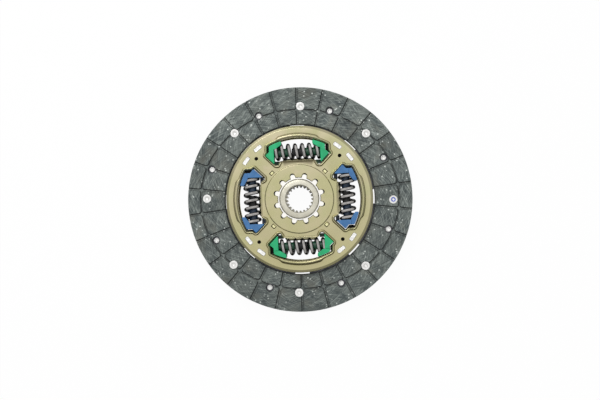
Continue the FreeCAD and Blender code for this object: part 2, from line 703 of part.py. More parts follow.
def damper_spring(phase):
    """A coil spring with ground ends."""
    mean = (SPRING_OD - SPRING_WIRE) / 2
    turns = math.ceil((SPRING_LENGTH + SPRING_WIRE) / SPRING_PITCH)
    height = turns * SPRING_PITCH
    path = Part.makeHelix(SPRING_PITCH, height, mean)
    rise = SPRING_PITCH / (2 * math.pi * mean)
    section = Part.Wire(Part.makeCircle(SPRING_WIRE / 2, V(mean, 0, 0), V(0, 1, rise)))
    coil = Part.Wire(path).makePipeShell([section], True, True)
    coil.translate(V(0, 0, -height / 2))
    coil.rotate(V(0, 0, 0), AXIS, phase)
    room = Part.makeCylinder(SPRING_OD, SPRING_LENGTH, V(0, 0, -SPRING_HALF))
    return along_x(coil.common(room))


def spring_seat():
    """The seat at a spring's right end: back, nose, an arm over the spring's outer side and a peg."""
    low = SPRING_PLANE - SEAT_HEIGHT / 2
    high = SPRING_PLANE + SEAT_HEIGHT / 2
    outer = WINDOW_OUTER_R - SEAT_PLAY
    tip_x = SPRING_HALF - ARM_LENGTH
    corner = (STEP_X, math.sqrt(outer ** 2 - STEP_X ** 2))
    arm_end = (tip_x, math.sqrt(outer ** 2 - tip_x ** 2))
    middle_x = (STEP_X + tip_x) / 2
    middle = V(middle_x, math.sqrt(outer ** 2 - middle_x ** 2), 0)
    first = [(SPRING_HALF, SPRING_R + ARM_ROOT), (SPRING_HALF, HEEL_Y), (TIP_X, TIP_Y),
             (STEP_X, SPRING_R + NOSE_TOP), corner]
    second = [arm_end, (tip_x, SPRING_R + ARM_LIP), first[0]]
    top = Part.Arc(V(*corner, 0), middle, V(*arm_end, 0)).toShape()
    body = raised(lines(first) + [top] + lines(second), low, high)
    body = body.makeFillet(SEAT_ROUND, upright_edges(body, lambda x, y: x > STEP_X - CLOSE))
    clear = Part.makeCylinder(SPRING_OD / 2 + SPRING_PLAY, SPRING_LENGTH, V(0, 0, -SPRING_HALF))
    body = body.cut(along_x(clear))
    root = SPRING_HALF - PEG_LENGTH
    shaft = Part.makeCylinder(PEG_D / 2, PEG_LENGTH - PEG_TAPER + PAST, V(0, 0, root + PEG_TAPER))
    tip = Part.makeCone(PEG_D / 2 - PEG_TAPER / 2, PEG_D / 2, PEG_TAPER, V(0, 0, root))
    return body.fuse(along_x(shaft.fuse(tip))).removeSplitter()


def stopper():
    """A rubber bumper between the two pegs, inside the spring."""
    end = STOPPER_LENGTH / 2
    full = STOPPER_D / 2
    waist = STOPPER_WAIST_D / 2
    edge = STOPPER_EDGE
    profile = [(0, -end), (full - edge, -end), (full, edge - end), (full, -end / 2), (waist, 0),
               (full, end / 2), (full, end - edge), (full - edge, end), (0, end)]
    return along_x(spun(profile))


# Every piece

def pieces():
    front = facing()
    made = {
        "facing_front": front,
        "facing_rear": rear_facing(front),
        "facing_rivets_front": front_rivets(),
        "facing_rivets_rear": rear_rivets(),
        "segment_rivets": segment_rivets(),
        "disc_plate": disc_plate(),
        "cover_plate": cover_plate(),
        "spacer_rivets": spacer_rivets(),
        "hub": hub(),
        "bush_front": bush_front(),
        "bush_rear": bush_rear(),
        "thrust_ring": thrust_ring(),
        "cone_spring": cone_spring(),
    }
    segment = cushion_segment()
    for n in range(SEGMENTS):
        made[f"cushion_segment_{n + 1}"] = turned(segment, foot_angle(n))
    seat = spring_seat()
    other = seat.mirror(V(0, 0, 0), V(1, 0, 0))
    for n in range(WINDOWS):
        turn = WINDOW_ANGLE - 90 + n * 360.0 / WINDOWS
        made[f"damper_spring_{n + 1}"] = turned(damper_spring(SPRING_PHASES[n]), turn)
        made[f"spring_seat_{n + 1}_right"] = turned(seat, turn)
        made[f"spring_seat_{n + 1}_left"] = turned(other, turn)
        made[f"stopper_{n + 1}"] = turned(stopper(), turn)
    return made


os.makedirs("parts", exist_ok=True)
for name, shape in pieces().items():
    shape.exportStep(f"parts/{name}.step")
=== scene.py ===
import math

import bpy
import numpy as np
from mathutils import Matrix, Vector
from mathutils.geometry import delaunay_2d_cdt


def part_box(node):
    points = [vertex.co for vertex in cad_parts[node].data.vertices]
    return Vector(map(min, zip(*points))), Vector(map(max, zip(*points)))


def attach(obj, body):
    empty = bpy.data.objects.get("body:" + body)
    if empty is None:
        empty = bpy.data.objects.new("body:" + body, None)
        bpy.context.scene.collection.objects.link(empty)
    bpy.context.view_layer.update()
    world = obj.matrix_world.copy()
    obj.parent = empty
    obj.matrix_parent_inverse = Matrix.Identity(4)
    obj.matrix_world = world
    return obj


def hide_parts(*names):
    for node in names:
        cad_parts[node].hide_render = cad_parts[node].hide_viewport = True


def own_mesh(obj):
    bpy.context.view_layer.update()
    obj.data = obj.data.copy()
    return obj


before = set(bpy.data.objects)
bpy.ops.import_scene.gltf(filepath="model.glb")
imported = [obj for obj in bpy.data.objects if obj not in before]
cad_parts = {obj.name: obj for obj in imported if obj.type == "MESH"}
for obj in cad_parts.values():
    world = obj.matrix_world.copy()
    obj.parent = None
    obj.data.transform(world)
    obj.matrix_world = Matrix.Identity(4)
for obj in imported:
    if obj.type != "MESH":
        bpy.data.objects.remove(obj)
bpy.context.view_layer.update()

# The look of a sprung clutch disc, round the solids of its frame. Every size below is in millimetres, and
# heights come from the frame's own boxes.

MM = 0.001


def heights(node):
    """Lowest and highest height of a solid of the frame."""
    low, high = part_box(node)
    return low.z / MM, high.z / MM


def widest(node):
    """Radius of a round solid of the frame about the disc's axis."""
    low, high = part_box(node)
    return (high.x - low.x) / 2 / MM


# Layers
FACING_BACK, FACING_FACE = heights("facing_front")
CUSHION_PLANE = (FACING_BACK + heights("facing_rear")[1]) / 2
SEGMENT_T = 0.8
HUB_LOW, HUB_HIGH = heights("hub")
FRONT_BUSH_LOW, FRONT_BUSH_HIGH = heights("bush_front")
REAR_BUSH_LOW, REAR_BUSH_HIGH = heights("bush_rear")
SEAT_LOW, SEAT_HIGH = heights("spring_seat_1_left")
SPRING_PLANE = (SEAT_LOW + SEAT_HIGH) / 2
THRUST_LOW, THRUST_LUG_TOP = heights("thrust_ring")
THRUST_T = 0.6
FLANGE_LOW = REAR_BUSH_HIGH
FLANGE_TOP = FRONT_BUSH_LOW
DISC_PLATE_TOP = CUSHION_PLANE - SEGMENT_T / 2
DISC_PLATE_T = 2.0
COVER_T = 1.8
BUSH_STAND = 0.25
DOME_RISE = 0.9
DOME_TOP = FRONT_BUSH_HIGH - BUSH_STAND
COVER_TOP = DOME_TOP - DOME_RISE

# Facings
FACING_R = widest("facing_front")
FACING_BORE_R = 74.8
GROOVES = 26
GROOVE_W = 2.0
GROOVE_DEPTH = 0.9
GROOVE_ANGLE = 8.6
OVAL_LONG = 98.9
OVAL_SHORT = 89.4
OVAL_W = 1.3
BLOCK_CORNER = 2.4
BLOCK_EDGE = 0.35           # rounding of a block's top edge
FACING_EDGE = 0.4

# Facing rivets
RIVETS = 8
RIVET_CIRCLE_R = 93.1
HEAD_ANGLE = -0.3
TAIL_ANGLE = 26.3
HEAD_R = 4.3
HEAD_T = 1.1
HEAD_SINK = 0.9
RECESS_R = 4.6
TAIL_HOLE_R = 4.1
TAIL_R = 2.8
SHANK_R = 2.1
DIMPLE_R = 1.6
DIMPLE_DEPTH = 0.35

# Rivets of the cushion segments
SEGMENTS = 8
SEGMENT_RIVET_R = 70.3
SEGMENT_RIVET_STEP = 20.0
SEGMENT_RIVET_HEAD_R = 2.6
SEGMENT_RIVET_HEAD_T = 1.2
SEGMENT_RIVET_SHANK_R = 1.8

# Windows and what sits in them
WINDOWS = 4
WINDOW_ANGLE = 2.1
BETWEEN_WINDOWS = WINDOW_ANGLE + 180.0 / WINDOWS
SPRING_R = 47.4
SPRING_OUT_R = 8.5
WIRE_R = 1.75
SPRING_HALF = 23.0
SPRING_TURNS = 6.9
COIL_PITCH = 7.0
END_PITCH = 4.0             # of the closed last turn
SPRING_PHASES = (206.0, 206.0, 144.0, 309.0)
SEAT_BACK_T = 4.8
NOSE_REACH = 4.0
NOSE_DROP = 3.2
NOSE_TOP = 0.2
HEEL_DROP = 12.0
ARM_LENGTH = 7.5
ARM_LIP = 7.0
ARM_ROOT = 2.8
ARM_STEP = 0.8              # how much lower the arm is than the back
BACK_LAP = 0.7              # how far the back reaches over the spring's end
SPRING_PLAY = 0.2
SEAT_PLAY = 0.4
SEAT_OUT_R = 60.1
PACK_TURN = 0.7             # how far hub and springs stand turned in the plates, in degrees
WINDOW_OUT_R = 61.3
REAR_WINDOW_OUT_R = 60.5
WINDOW_END_GAP = 2.7
WINDOW_ROUNDS = (0.5, 1.0, 1.0, 2.8, 1.4)  # lobe, heel, nose, notch and end
CHORD_Y = 38.2
CHORD_HALF = 17.6
CHORD = (CHORD_HALF, CHORD_Y, 1.5)  # the inner edge's corner: x, y, radius
REAR_CHORD = (16.0, 41.2, 3.2)
FLANGE_CHORD = (16.6, 37.3, 0.6)
LOBE_HALF = 20.0
REAR_LOBE_HALF = 17.2
LOBE_Y = 34.0
NOTCH_RISE = 2.6
STEP_X = SPRING_HALF + SEAT_BACK_T
TIP_X = STEP_X + NOSE_REACH
TIP_Y = SPRING_R - NOSE_DROP
HEEL_Y = SPRING_R - HEEL_DROP
PEG_R = 4.2
FOOT_PLAY = 0.15
FOOT = (18.0, 35.0, 38.8)   # of a seat: its tip along the spring, and its sides
PEG_DROP = 0.6              # how far pegs and stoppers hang towards the hub
PEG_LENGTH = 16.0
STOPPER_HALF = 5.5
STOPPER_R = 4.3
STOPPER_WAIST_R = 3.6
STOPPER_END = 0.6           # its rounded end

# Edges of the windows: width, height, share of the width from the window to the crest, and share of the
# height that is lost from the crest to the window
LIP_OUTER = (4.5, 2.3, 0.36, 0.45)
LIP_CORNER = (2.5, 1.8, 0.42, 0.45)
LIP_END = (2.7, 1.9, 0.46, 0.55)
LIP_CHORD = (1.3, -0.4, 0.5, 0.45)
REAR_LIP_CHORD = (2.9, 3.1, 0.05, 0.0)
OUTLINE_GAP = 1.1           # most between two points of a window's outline
LIP_BLENDING = 24           # steps that even the sizes out along the edge
LIP_FOOT = 1.15             # power of the slope down to the foot

# Plates
PLATE_R = 73.0
RIM_BEND_R = 2.5
RIM_CONE = (2.6, 1.15)      # width and drop of the slope that its outside makes
RIM_DROP = 4.4
RIM_EDGE = 0.35
REAR_RIM_EDGE = 0.4
PLATE_POINTS = 240
DOME_R = 34.6
DOME_SLOPE = 1.2
SHEET_EDGE = 0.2            # rounding of the punched edges
WINDOW_EDGE = 0.3
PLATE_BORE_R = 21.5
LUGS = 12
LUG_ANGLE = 15.0
NOTCH_W = 5.5
NOTCH_TIP_R = 26.0
PIN_HOLE_R = 1.8
PIN_HOLE_AT = 58.5
SPACER_R = 64.9
SPACER_HALF_ANGLE = 7.45
SPACER_L = 8.7
SPACER_W = 3.7
SPACER_SHOULDER = 0.5       # how far it stands out round its tenon
DENT_AT = 2.2               # of the tenon's staked ends, from the middle
DENT_DEPTH = 0.3
DENT_SIZE = (0.9, 1.0)
SLOT_PLAY = 0.15
THRUST_LUG_AT = 37.3
THRUST_LUG_W = 3.4
THRUST_LUG_T = 2.4
THRUST_SLOT_PLAY = 0.6
THRUST_BORE_R = 22.4
THRUST_R = 33.2

# Hub and bushes
TEETH = 21
SPLINE_R = 13.5
TOOTH_R = 11.8
TOOTH_ROOT = 0.46           # share of the pitch that a tooth takes at its root
TOOTH_TIP = 0.32
HUB_R = 19.3
HUB_CHAMFER = 0.7
BORE_CHAMFER = 1.0
FLANGE_R = 61.6
FLANGE_PLAY = 0.3
ARM_ROUND = 2.0
FLANGE_ROUNDS = (0.6, 0.6, 0.6, 0.6, ARM_ROUND)
BUSH_PLAY = 0.5
SLEEVE_R = 20.6
COLLAR_R = 20.9
STAR_R = SLEEVE_R - 0.05    # between the bush's lugs
BUSH_LUG_W = 4.7
BUSH_LUG_TIP_R = 24.7
BUSH_FLANGE_R = 31.5
WASHER_LAP = 0.6            # how far the bush's washer reaches into its sleeve
STAR_STAND = 0.05           # how far the front bush's lugs stand over the cover
COLLAR_LOW = DOME_TOP + 0.02


# Points and outlines

def polar(radius, angle):
    """Points at a radius and an angle in degrees: (r cos a, r sin a)."""
    a = np.radians(angle)
    return np.stack(np.broadcast_arrays(radius * np.cos(a), radius * np.sin(a)), -1)


def turned(points, angle):
    """Points turned about the disc's axis by an angle in degrees. Heights stay."""
    a = math.radians(angle)
    c, s = math.cos(a), math.sin(a)
    out = np.array(points, float)
    out[..., 0] = c * points[..., 0] - s * points[..., 1]
    out[..., 1] = s * points[..., 0] + c * points[..., 1]
    return out


def spread(first, count):
    """Angles in even steps round the axis."""
    return [first + k * 360.0 / count for k in range(count)]


def bell(x, middle, width):
    """exp(-((x - middle) / width)^2)."""
    return np.exp(-((x - middle) / width) ** 2)


def smooth(t):
    """A smooth step from 0 to 1: 3 t^2 - 2 t^3."""
    return t * t * (3 - 2 * t)


def circle(radius, count, x=0.0, y=0.0):
    """A circle's points, anticlockwise."""
    return polar(radius, np.arange(count) * 360.0 / count) + (x, y)


def rounded(corners, step=12.0):
    """A closed outline through (x, y, radius) corners. Each corner is an arc that touches both its sides:
    its ends lie radius / tan(half the corner's angle) from the corner."""
    corners = np.array(corners, float)
    out = []
    for before, here, after in zip(np.roll(corners, 1, 0), corners, np.roll(corners, -1, 0)):
        radius = here[2]
        u = (before - here)[:2] / np.hypot(*(before - here)[:2])
        v = (after - here)[:2] / np.hypot(*(after - here)[:2])
        opening = math.acos(np.clip(u @ v, -1, 1))
        if radius == 0 or opening > math.pi - 0.01:
            out.append(here[:2])
            continue
        middle = (u + v) / np.hypot(*(u + v))
        centre = here[:2] + middle * radius / math.sin(opening / 2)
        first = here[:2] + u * radius / math.tan(opening / 2) - centre
        turn = math.pi - opening
        if u[0] * v[1] - u[1] * v[0] > 0:
            turn = -turn
        count = max(2, math.ceil(abs(math.degrees(turn)) / step))
        for k in range(count + 1):
            a = turn * k / count
            out.append(centre + (first[0] * math.cos(a) - first[1] * math.sin(a),
                                 first[0] * math.sin(a) + first[1] * math.cos(a)))
    return np.array(out)


def oblong(left, right, low, high, radius, step=12.0):
    """A rectangle's outline with rounded corners, anticlockwise."""
    corners = [(left, low), (right, low), (right, high), (left, high)]
    return rounded([(x, y, radius) for x, y in corners], step)


def at_height(flat, z):
    """Flat points at a height, or each at its own."""
    return np.column_stack([flat, np.broadcast_to(z, len(flat))])


def spaced(loop, gap):
    """The same closed outline with no two points further apart than the gap."""
    out = []
    for a, b in zip(loop, np.roll(loop, -1, 0)):
        parts = max(1, math.ceil(np.hypot(*(b - a)) / gap))
        out += [a + (b - a) * k / parts for k in range(parts)]
    return np.array(out)


def outward(loop):
    """Unit normals to the right of a closed outline, square to the line between each point's neighbours."""
    ahead = np.roll(loop, -1, 0) - np.roll(loop, 1, 0)
    ahead = ahead / np.linalg.norm(ahead, axis=1)[:, None]
    return np.stack([ahead[:, 1], -ahead[:, 0]], 1)


def hole(loop):
    """An outline run the other way round, so that what is inside it is open."""
    return loop[::-1]


# Skins: lists of points and faces

def quads(rows, columns, close_rows=False, close_columns=True):
    """Faces between the points of a grid that is stored row after row."""
    r = np.arange(rows if close_rows else rows - 1)
    c = np.arange(columns if close_columns else columns - 1)
    r, c = (g.ravel() for g in np.meshgrid(r, c, indexing="ij"))
    up = (r + 1) % rows
    on = (c + 1) % columns
    return np.stack([r * columns + c, r * columns + on, up * columns + on, up * columns + c], 1)


def enclosed(points, loops):
    """Whether points lie inside the outlines: a line from each to the right crosses them an odd number of
    times."""
    crossings = np.zeros(len(points), int)
    x, y = points[:, :1], points[:, 1:]
    for loop in loops:
        run = np.roll(loop, -1, 0) - loop
        spans = (loop[:, 1] > y) != (np.roll(loop[:, 1], -1) > y)
        at = loop[:, 0] + (y - loop[:, 1]) * run[:, 0] / np.where(run[:, 1] == 0, 1, run[:, 1])
        crossings += (spans & (x < at)).sum(1)
    return crossings % 2 == 1


def filled(loops, extra):
    """Triangles between a set of closed outlines: inside the first and outside the others."""
    flat = np.concatenate(list(loops) + [extra])
    edges = []
    start = 0
    for loop in loops:
        n = len(loop)
        edges += [(start + i, start + (i + 1) % n) for i in range(n)]
        start += n
    _, _, faces, origin, _, _ = delaunay_2d_cdt([Vector(p) for p in flat], edges, [], 1, 1e-6)
    faces = np.array([[origin[i][0] for i in face] for face in faces])
    return faces[enclosed(flat[faces].mean(1), loops)].tolist()


def skin(stacks, low_points=None, high_points=None):
    """A closed skin. Each stack holds a loop's rows of points, from the lower face's edge outwards and up to
    the upper face's edge. The two faces are filled between the loops, with extra points where they curve."""
    points = []
    faces = []
    start = 0
    borders = {0: [], -1: []}
    for rows in stacks:
        count, n = rows.shape[:2]
        faces += [list(f) for f in quads(count, n) + start]
        borders[0].append(start + np.arange(n))
        borders[-1].append(start + (count - 1) * n + np.arange(n))
        points.append(rows.reshape(-1, 3))
        start += count * n
    for side, extra in ((0, low_points), (-1, high_points)):
        extra = np.zeros((0, 3)) if extra is None else extra
        index = np.concatenate(borders[side] + [start + np.arange(len(extra))])
        for face in filled([rows[side][:, :2] for rows in stacks], extra[:, :2]):
            a, b, c = (int(index[i]) for i in face)
            faces.append([a, b, c] if side else [c, b, a])
        points.append(extra)
        start += len(extra)
    return np.concatenate(points), faces


QUARTER = np.radians((0.0, 30.0, 60.0, 90.0))
FLAT_STRIP = 0.04


def wall(loop, low, high, edge):
    """A loop's rows for a slab with rounded edges: quarter rounds of the edge's radius above and below, and
    a narrow flat strip beside each face, which keeps the face's shading flat."""
    normals = outward(loop)
    places = [(edge + FLAT_STRIP, low)]
    places += [(edge * (1 - math.sin(a)), low + edge * (1 - math.cos(a))) for a in QUARTER]
    places += [(edge * (1 - math.cos(a)), high - edge * (1 - math.sin(a))) for a in QUARTER]
    places += [(edge + FLAT_STRIP, high)]
    return np.array([at_height(loop - normals * inset, z) for inset, z in places])


def slab(loops, low, high, edge):
    """A flat slab between two heights, with rounded edges."""
    return skin([wall(loop, low, high, edge) for loop in loops])


def lathe(profile, count):
    """A turned skin from (radius, height) points, which run up the outside. Ends on the axis are closed
    with one point each, and a profile that has none of them is a ring."""
    profile = np.array(profile, float)
    on_axis = profile[0, 0] < 1e-9
    ring = profile[1:-1] if on_axis else profile
    angle = np.arange(count) * 360.0 / count
    rows = np.array([at_height(polar(r, angle), z) for r, z in ring])
    faces = [list(f) for f in quads(len(ring), count, close_rows=not on_axis)]
    points = rows.reshape(-1, 3)
    if on_axis:
        last = len(points)
        points = np.concatenate([points, [[0, 0, profile[0, 1]], [0, 0, profile[-1, 1]]]])
        top = (len(ring) - 1) * count
        faces += [[(k + 1) % count, k, last] for k in range(count)]
        faces += [[top + k, top + (k + 1) % count, last + 1] for k in range(count)]
    return points, faces


def rod(radius, low, high, count):
    """A plain cylinder."""
    return lathe([(0, low), (radius, low), (radius, high), (0, high)], count)


def soft(profile, radius, step=30.0):
    """A profile of (radius, height) points with every corner rounded, except those on the axis."""
    corners = [(r, z, 0.0 if r < 1e-9 else radius) for r, z in profile]
    return rounded(corners, step)


def joined(*skins):
    """Several skins as one."""
    points = []
    faces = []
    start = 0
    for p, f in skins:
        points.append(p)
        faces += [[i + start for i in face] for face in f]
        start += len(p)
    return np.concatenate(points), faces


def shifted(part, x=0.0, y=0.0, z=0.0):
    return part[0] + (x, y, z), part[1]


def spun(part, angle):
    return turned(part[0], angle), part[1]


def mirrored(part, axis, at=0.0):
    """A skin mirrored about a plane across an axis, with its faces turned to point outwards again."""
    points = part[0].copy()
    points[:, axis] = 2 * at - points[:, axis]
    return points, [face[::-1] for face in part[1]]


def ring_of(part, count, first=0.0):
    """A skin repeated round the disc's axis."""
    return joined(*(spun(part, angle) for angle in spread(first, count)))


def along_spring(part):
    """Lays a skin made about the z axis along a spring's axis in the window whose middle is on +Y."""
    p = part[0]
    return np.stack([p[:, 2], p[:, 1] + SPRING_R, SPRING_PLANE - p[:, 0]], 1), part[1]


# Pieces in the scene

def stand(name, data):
    """A new object in the scene."""
    thing = bpy.data.objects.new(name, data)
    bpy.context.scene.collection.objects.link(thing)
    return thing


def mesh_of(name, part, tones=None):
    """A mesh from a skin in millimetres, with extra numbers per point kept as attributes."""
    points, faces = part
    mesh = bpy.data.meshes.new(name)
    mesh.from_pydata((points * MM).tolist(), [], [list(map(int, f)) for f in faces])
    for key, values in (tones or {}).items():
        attribute = mesh.attributes.new(key, "FLOAT", "POINT")
        attribute.data.foreach_set("value", np.asarray(values, np.float32))
    mesh.validate()
    mesh.update()
    return mesh


def piece(name, part, material, body, nodes, sharp=35.0, tones=None):
    """Puts a skin in the scene as a piece that stands for solids of the frame."""
    mesh = mesh_of(name, part, tones)
    mesh.materials.append(material)
    mesh.polygons.foreach_set("use_smooth", [True] * len(mesh.polygons))
    mesh.set_sharp_from_angle(angle=math.radians(sharp))
    thing = stand(name, mesh)
    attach(thing, body)
    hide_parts(*nodes)
    return thing


def carved(part, cutter, name):
    """The skin of one part with another cut out of it."""
    body = stand(name, mesh_of(name, part))
    tool = stand(name + "_tool", mesh_of(name + "_tool", cutter))
    cut = body.modifiers.new("cut", "BOOLEAN")
    cut.operation = "DIFFERENCE"
    cut.solver = "EXACT"
    cut.object = tool
    bpy.context.view_layer.update()
    shape = body.evaluated_get(bpy.context.evaluated_depsgraph_get()).to_mesh()
    points = np.zeros(len(shape.vertices) * 3)
    shape.vertices.foreach_get("co", points)
    faces = [list(p.vertices) for p in shape.polygons]
    for thing in (body, tool):
        mesh = thing.data
        bpy.data.objects.remove(thing)
        bpy.data.meshes.remove(mesh)
    return points.reshape(-1, 3) / MM, faces


# Facings

PITCH = 360.0 / GROOVES
BESIDE = 3.8                # how far the close columns and rows reach from a groove's middle
SHADE_FROM = (-0.45, 0.89)  # where the light comes from, seen from above
GRID_PASSES = 5             # until columns and rows agree where they cross
GROOVE_SIDE = (0.0, 0.4, 0.75, 0.88, 0.95, 1.0, 1.1, 1.2, 1.35, 1.8, 2.4, 3.1, BESIDE)
OVAL_SIDE = (0.0, 0.4, 0.53, 0.6, 0.65, 0.75, 0.85, 1.0, 1.5, 2.1, 2.8, 3.3, BESIDE)
RIM_STEPS = (0.0, 0.05, 0.12, 0.25, 0.4, 1.2)
BLOCK_COLUMNS = 8
BLOCK_ROWS = 6


def oval_r(angle):
    """Radius of the oval groove's middle: ab / sqrt((b cos t)^2 + (a sin t)^2)."""
    a = np.radians(angle)
    return OVAL_LONG * OVAL_SHORT / np.hypot(OVAL_SHORT * np.cos(a), OVAL_LONG * np.sin(a))


def beside_grooves(points):
    """How far points lie inside their block from its sides, the block's number, and how far the side nearest
    to a point faces away from the lamp, -1 to 1. Blocks are cut by the straight grooves and the oval one, and
    their corners are round where two grooves cross."""
    r = np.hypot(points[:, 0], points[:, 1])
    angle = np.degrees(np.arctan2(points[:, 1], points[:, 0]))
    step = (angle - GROOVE_ANGLE) / PITCH
    nearest = (step - np.round(step)) * PITCH
    across = r * np.abs(np.sin(np.radians(nearest))) - GROOVE_W / 2
    along = r - oval_r(angle)
    deep = np.abs(along) - OVAL_W / 2
    corner = BLOCK_CORNER - np.hypot(*np.maximum(BLOCK_CORNER - np.array([across, deep]), 0))
    inside = np.where((across < BLOCK_CORNER) & (deep < BLOCK_CORNER), corner, np.minimum(across, deep))
    number = (np.floor(step).astype(int) % GROOVES) * 2 + (along > 0)
    out = np.stack([np.cos(np.radians(angle)), np.sin(np.radians(angle))])
    toward_lamp = out[0] * SHADE_FROM[0] + out[1] * SHADE_FROM[1]
    beside_lamp = -out[1] * SHADE_FROM[0] + out[0] * SHADE_FROM[1]
    away = np.where(across < deep, np.sign(nearest) * beside_lamp, np.sign(along) * toward_lamp)
    return inside, number, away


def groove_drop(inside):
    """Depth below the facing's face: a round edge, a steep side and a flat floor."""
    place = (-0.3, -0.14, -0.06, 0.0, 0.05, 0.13, 0.24, BLOCK_EDGE)
    depth = (-GROOVE_DEPTH, -0.86, -0.7, -0.34, -0.2, -0.09, -0.02, 0.0)
    return np.interp(inside, place, depth)


def facing_rows():
    """Rows of the face from the outer edge to the bore, each as (share of the oval, fixed radius, offset):
    its radius is (1 - share) * fixed + share * oval + offset."""
    rim = [(0.0, FACING_R, -d) for d in RIM_STEPS]
    bore = [(0.0, FACING_BORE_R, d) for d in RIM_STEPS[::-1]]
    steps = [k / (BLOCK_ROWS + 1) for k in range(1, BLOCK_ROWS + 1)]
    outer = [(f, FACING_R - RIM_STEPS[-1], BESIDE * f) for f in steps]
    inner = [(1 - f, FACING_BORE_R + RIM_STEPS[-1], -BESIDE * (1 - f)) for f in steps]
    near = [(1.0, 0.0, d) for d in OVAL_SIDE[::-1]] + [(1.0, 0.0, -d) for d in OVAL_SIDE[1:]]
    return np.array(rim + outer + near + inner + bore)


def facing_blank():
    """The front facing without its rivet holes, as a grid closed on itself: over the face from rim to bore,
    down the bore, along the back and up the rim."""
    rows = facing_rows()
    groove = (GROOVE_ANGLE + np.arange(GROOVES) * PITCH)[None, :, None]
    share, fixed, offset = (rows[:, k][:, None, None] for k in range(3))
    columns = 2 * len(GROOVE_SIDE) - 1 + BLOCK_COLUMNS
    radius = np.full((len(rows), GROOVES, columns), RIVET_CIRCLE_R)
    for _ in range(GRID_PASSES):
        angle = groove + columns_at(radius)
        radius = (1 - share) * fixed + share * oval_r(angle) + offset
    radius = radius.reshape(len(rows), -1)
    angle = angle.reshape(len(rows), -1)
    face = polar(radius, angle)
    inside = beside_grooves(face.reshape(-1, 2))[0]
    edge = np.minimum(FACING_R - radius, radius - FACING_BORE_R)
    round_off = FACING_EDGE - np.sqrt(np.maximum(FACING_EDGE**2 - np.maximum(FACING_EDGE - edge, 0)**2, 0))
    height = FACING_FACE + np.minimum(groove_drop(inside).reshape(edge.shape), -round_off)
    grid = [np.concatenate([face, height[..., None]], -1)]
    back = FACING_BACK + FACING_EDGE
    for k, r, z in ((-1, FACING_BORE_R, back), (-1, FACING_BORE_R + FACING_EDGE, FACING_BACK),
                    (0, FACING_R - FACING_EDGE, FACING_BACK), (0, FACING_R, back)):
        grid.append(at_height(polar(r, angle[k]), z)[None])
    grid = np.concatenate(grid)
    return grid.reshape(-1, 3), quads(len(grid), grid.shape[1], close_rows=True).tolist()


def columns_at(radius):
    """Angle of each column from its groove's middle. Beside the groove a column keeps its distance d from the
    middle, at the angle asin(d / r), and the rest are shared out evenly up to the next groove."""
    side = np.array(GROOVE_SIDE)
    offsets = np.concatenate([-side[:0:-1], side])
    share = np.arange(1, BLOCK_COLUMNS + 1) / (BLOCK_COLUMNS + 1)
    near = np.degrees(np.arcsin(offsets / radius[..., :len(offsets)]))
    reach = np.degrees(np.arcsin(BESIDE / radius[..., len(offsets):]))
    return np.concatenate([near, reach + share * (PITCH - 2 * reach)], -1)


def facing_shape():
    """The front facing with seats for its rivets' heads and holes for the other facing's."""
    bottom = FACING_FACE - HEAD_SINK - HEAD_T
    above = FACING_FACE + 1
    seat = lathe(soft([(0, bottom), (RECESS_R, bottom), (RECESS_R, above), (0, above)], 0.15), 48)
    through = rod(TAIL_HOLE_R, FACING_BACK - 1, above, 48)
    cutter = joined(ring_of(shifted(seat, RIVET_CIRCLE_R), RIVETS, HEAD_ANGLE),
                    ring_of(shifted(through, RIVET_CIRCLE_R), RIVETS, TAIL_ANGLE))
    return carved(facing_blank(), cutter, "facing")


def facing_tones(points):
    """Per point: a tone for its block, from -1 to 1, and how much painted shade it gets: a painted shadow in
    a groove's corner, strongest on the side away from the lamp, and painted shade at the bore."""
    inside, number, away = beside_grooves(points)
    shades = np.random.default_rng(7).uniform(-1, 1, 2 * GROOVES)
    tone = np.where(inside > 0, shades[number], 0.0)
    # Painted shadow in a groove's corner, strongest where the block's side faces away from the lamp
    corner = bell(inside, -0.12, 0.55) * (0.45 + 0.55 * np.clip(0.5 + away, 0, 1))
    r = np.maximum(np.hypot(points[:, 0], points[:, 1]), FACING_BORE_R)
    # Painted shade at the bore's edge
    corner = np.maximum(corner, 0.8 * bell(r, FACING_BORE_R, 0.5))
    return {"tone": tone, "corner": corner}


def facings(material):
    front = facing_shape()
    tones = facing_tones(front[0])
    piece("lining_front", front, material, "disc", ["facing_front"], tones=tones)
    points = front[0] * (1, -1, -1) + (0, 0, 2 * CUSHION_PLANE)
    rear = spun((points, front[1]), TAIL_ANGLE + HEAD_ANGLE)
    piece("lining_rear", rear, material, "disc", ["facing_rear"], tones=tones)


# Rivets

def facing_rivet():
    """A rivet with a dimpled head above and a hollow end rolled over below."""
    top = FACING_FACE - HEAD_SINK
    low = top - HEAD_T
    back = FACING_BACK - SEGMENT_T
    end = heights("facing_rivets_front")[0]
    head = [(0.0, top - DIMPLE_DEPTH), (0.55 * DIMPLE_R, top - DIMPLE_DEPTH), (0.8 * DIMPLE_R, top - 0.16),
            (DIMPLE_R, top - 0.05), (DIMPLE_R + 0.25, top), (HEAD_R - 0.6, top - 0.02),
            (HEAD_R - 0.2, top - 0.12), (HEAD_R - 0.03, top - 0.35), (HEAD_R, top - 0.6), (HEAD_R, low),
            (SHANK_R, low), (SHANK_R, back), (TAIL_R - 0.15, back), (TAIL_R, back - 0.2),
            (TAIL_R - 0.1, end + 0.35), (TAIL_R - 0.45, end + 0.08), (TAIL_R - 0.8, end),
            (TAIL_R - 1.15, end + 0.12), (TAIL_R - 1.4, end + 0.45), (TAIL_R - 1.5, back), (0.0, back)]
    return lathe(head[::-1], 40)


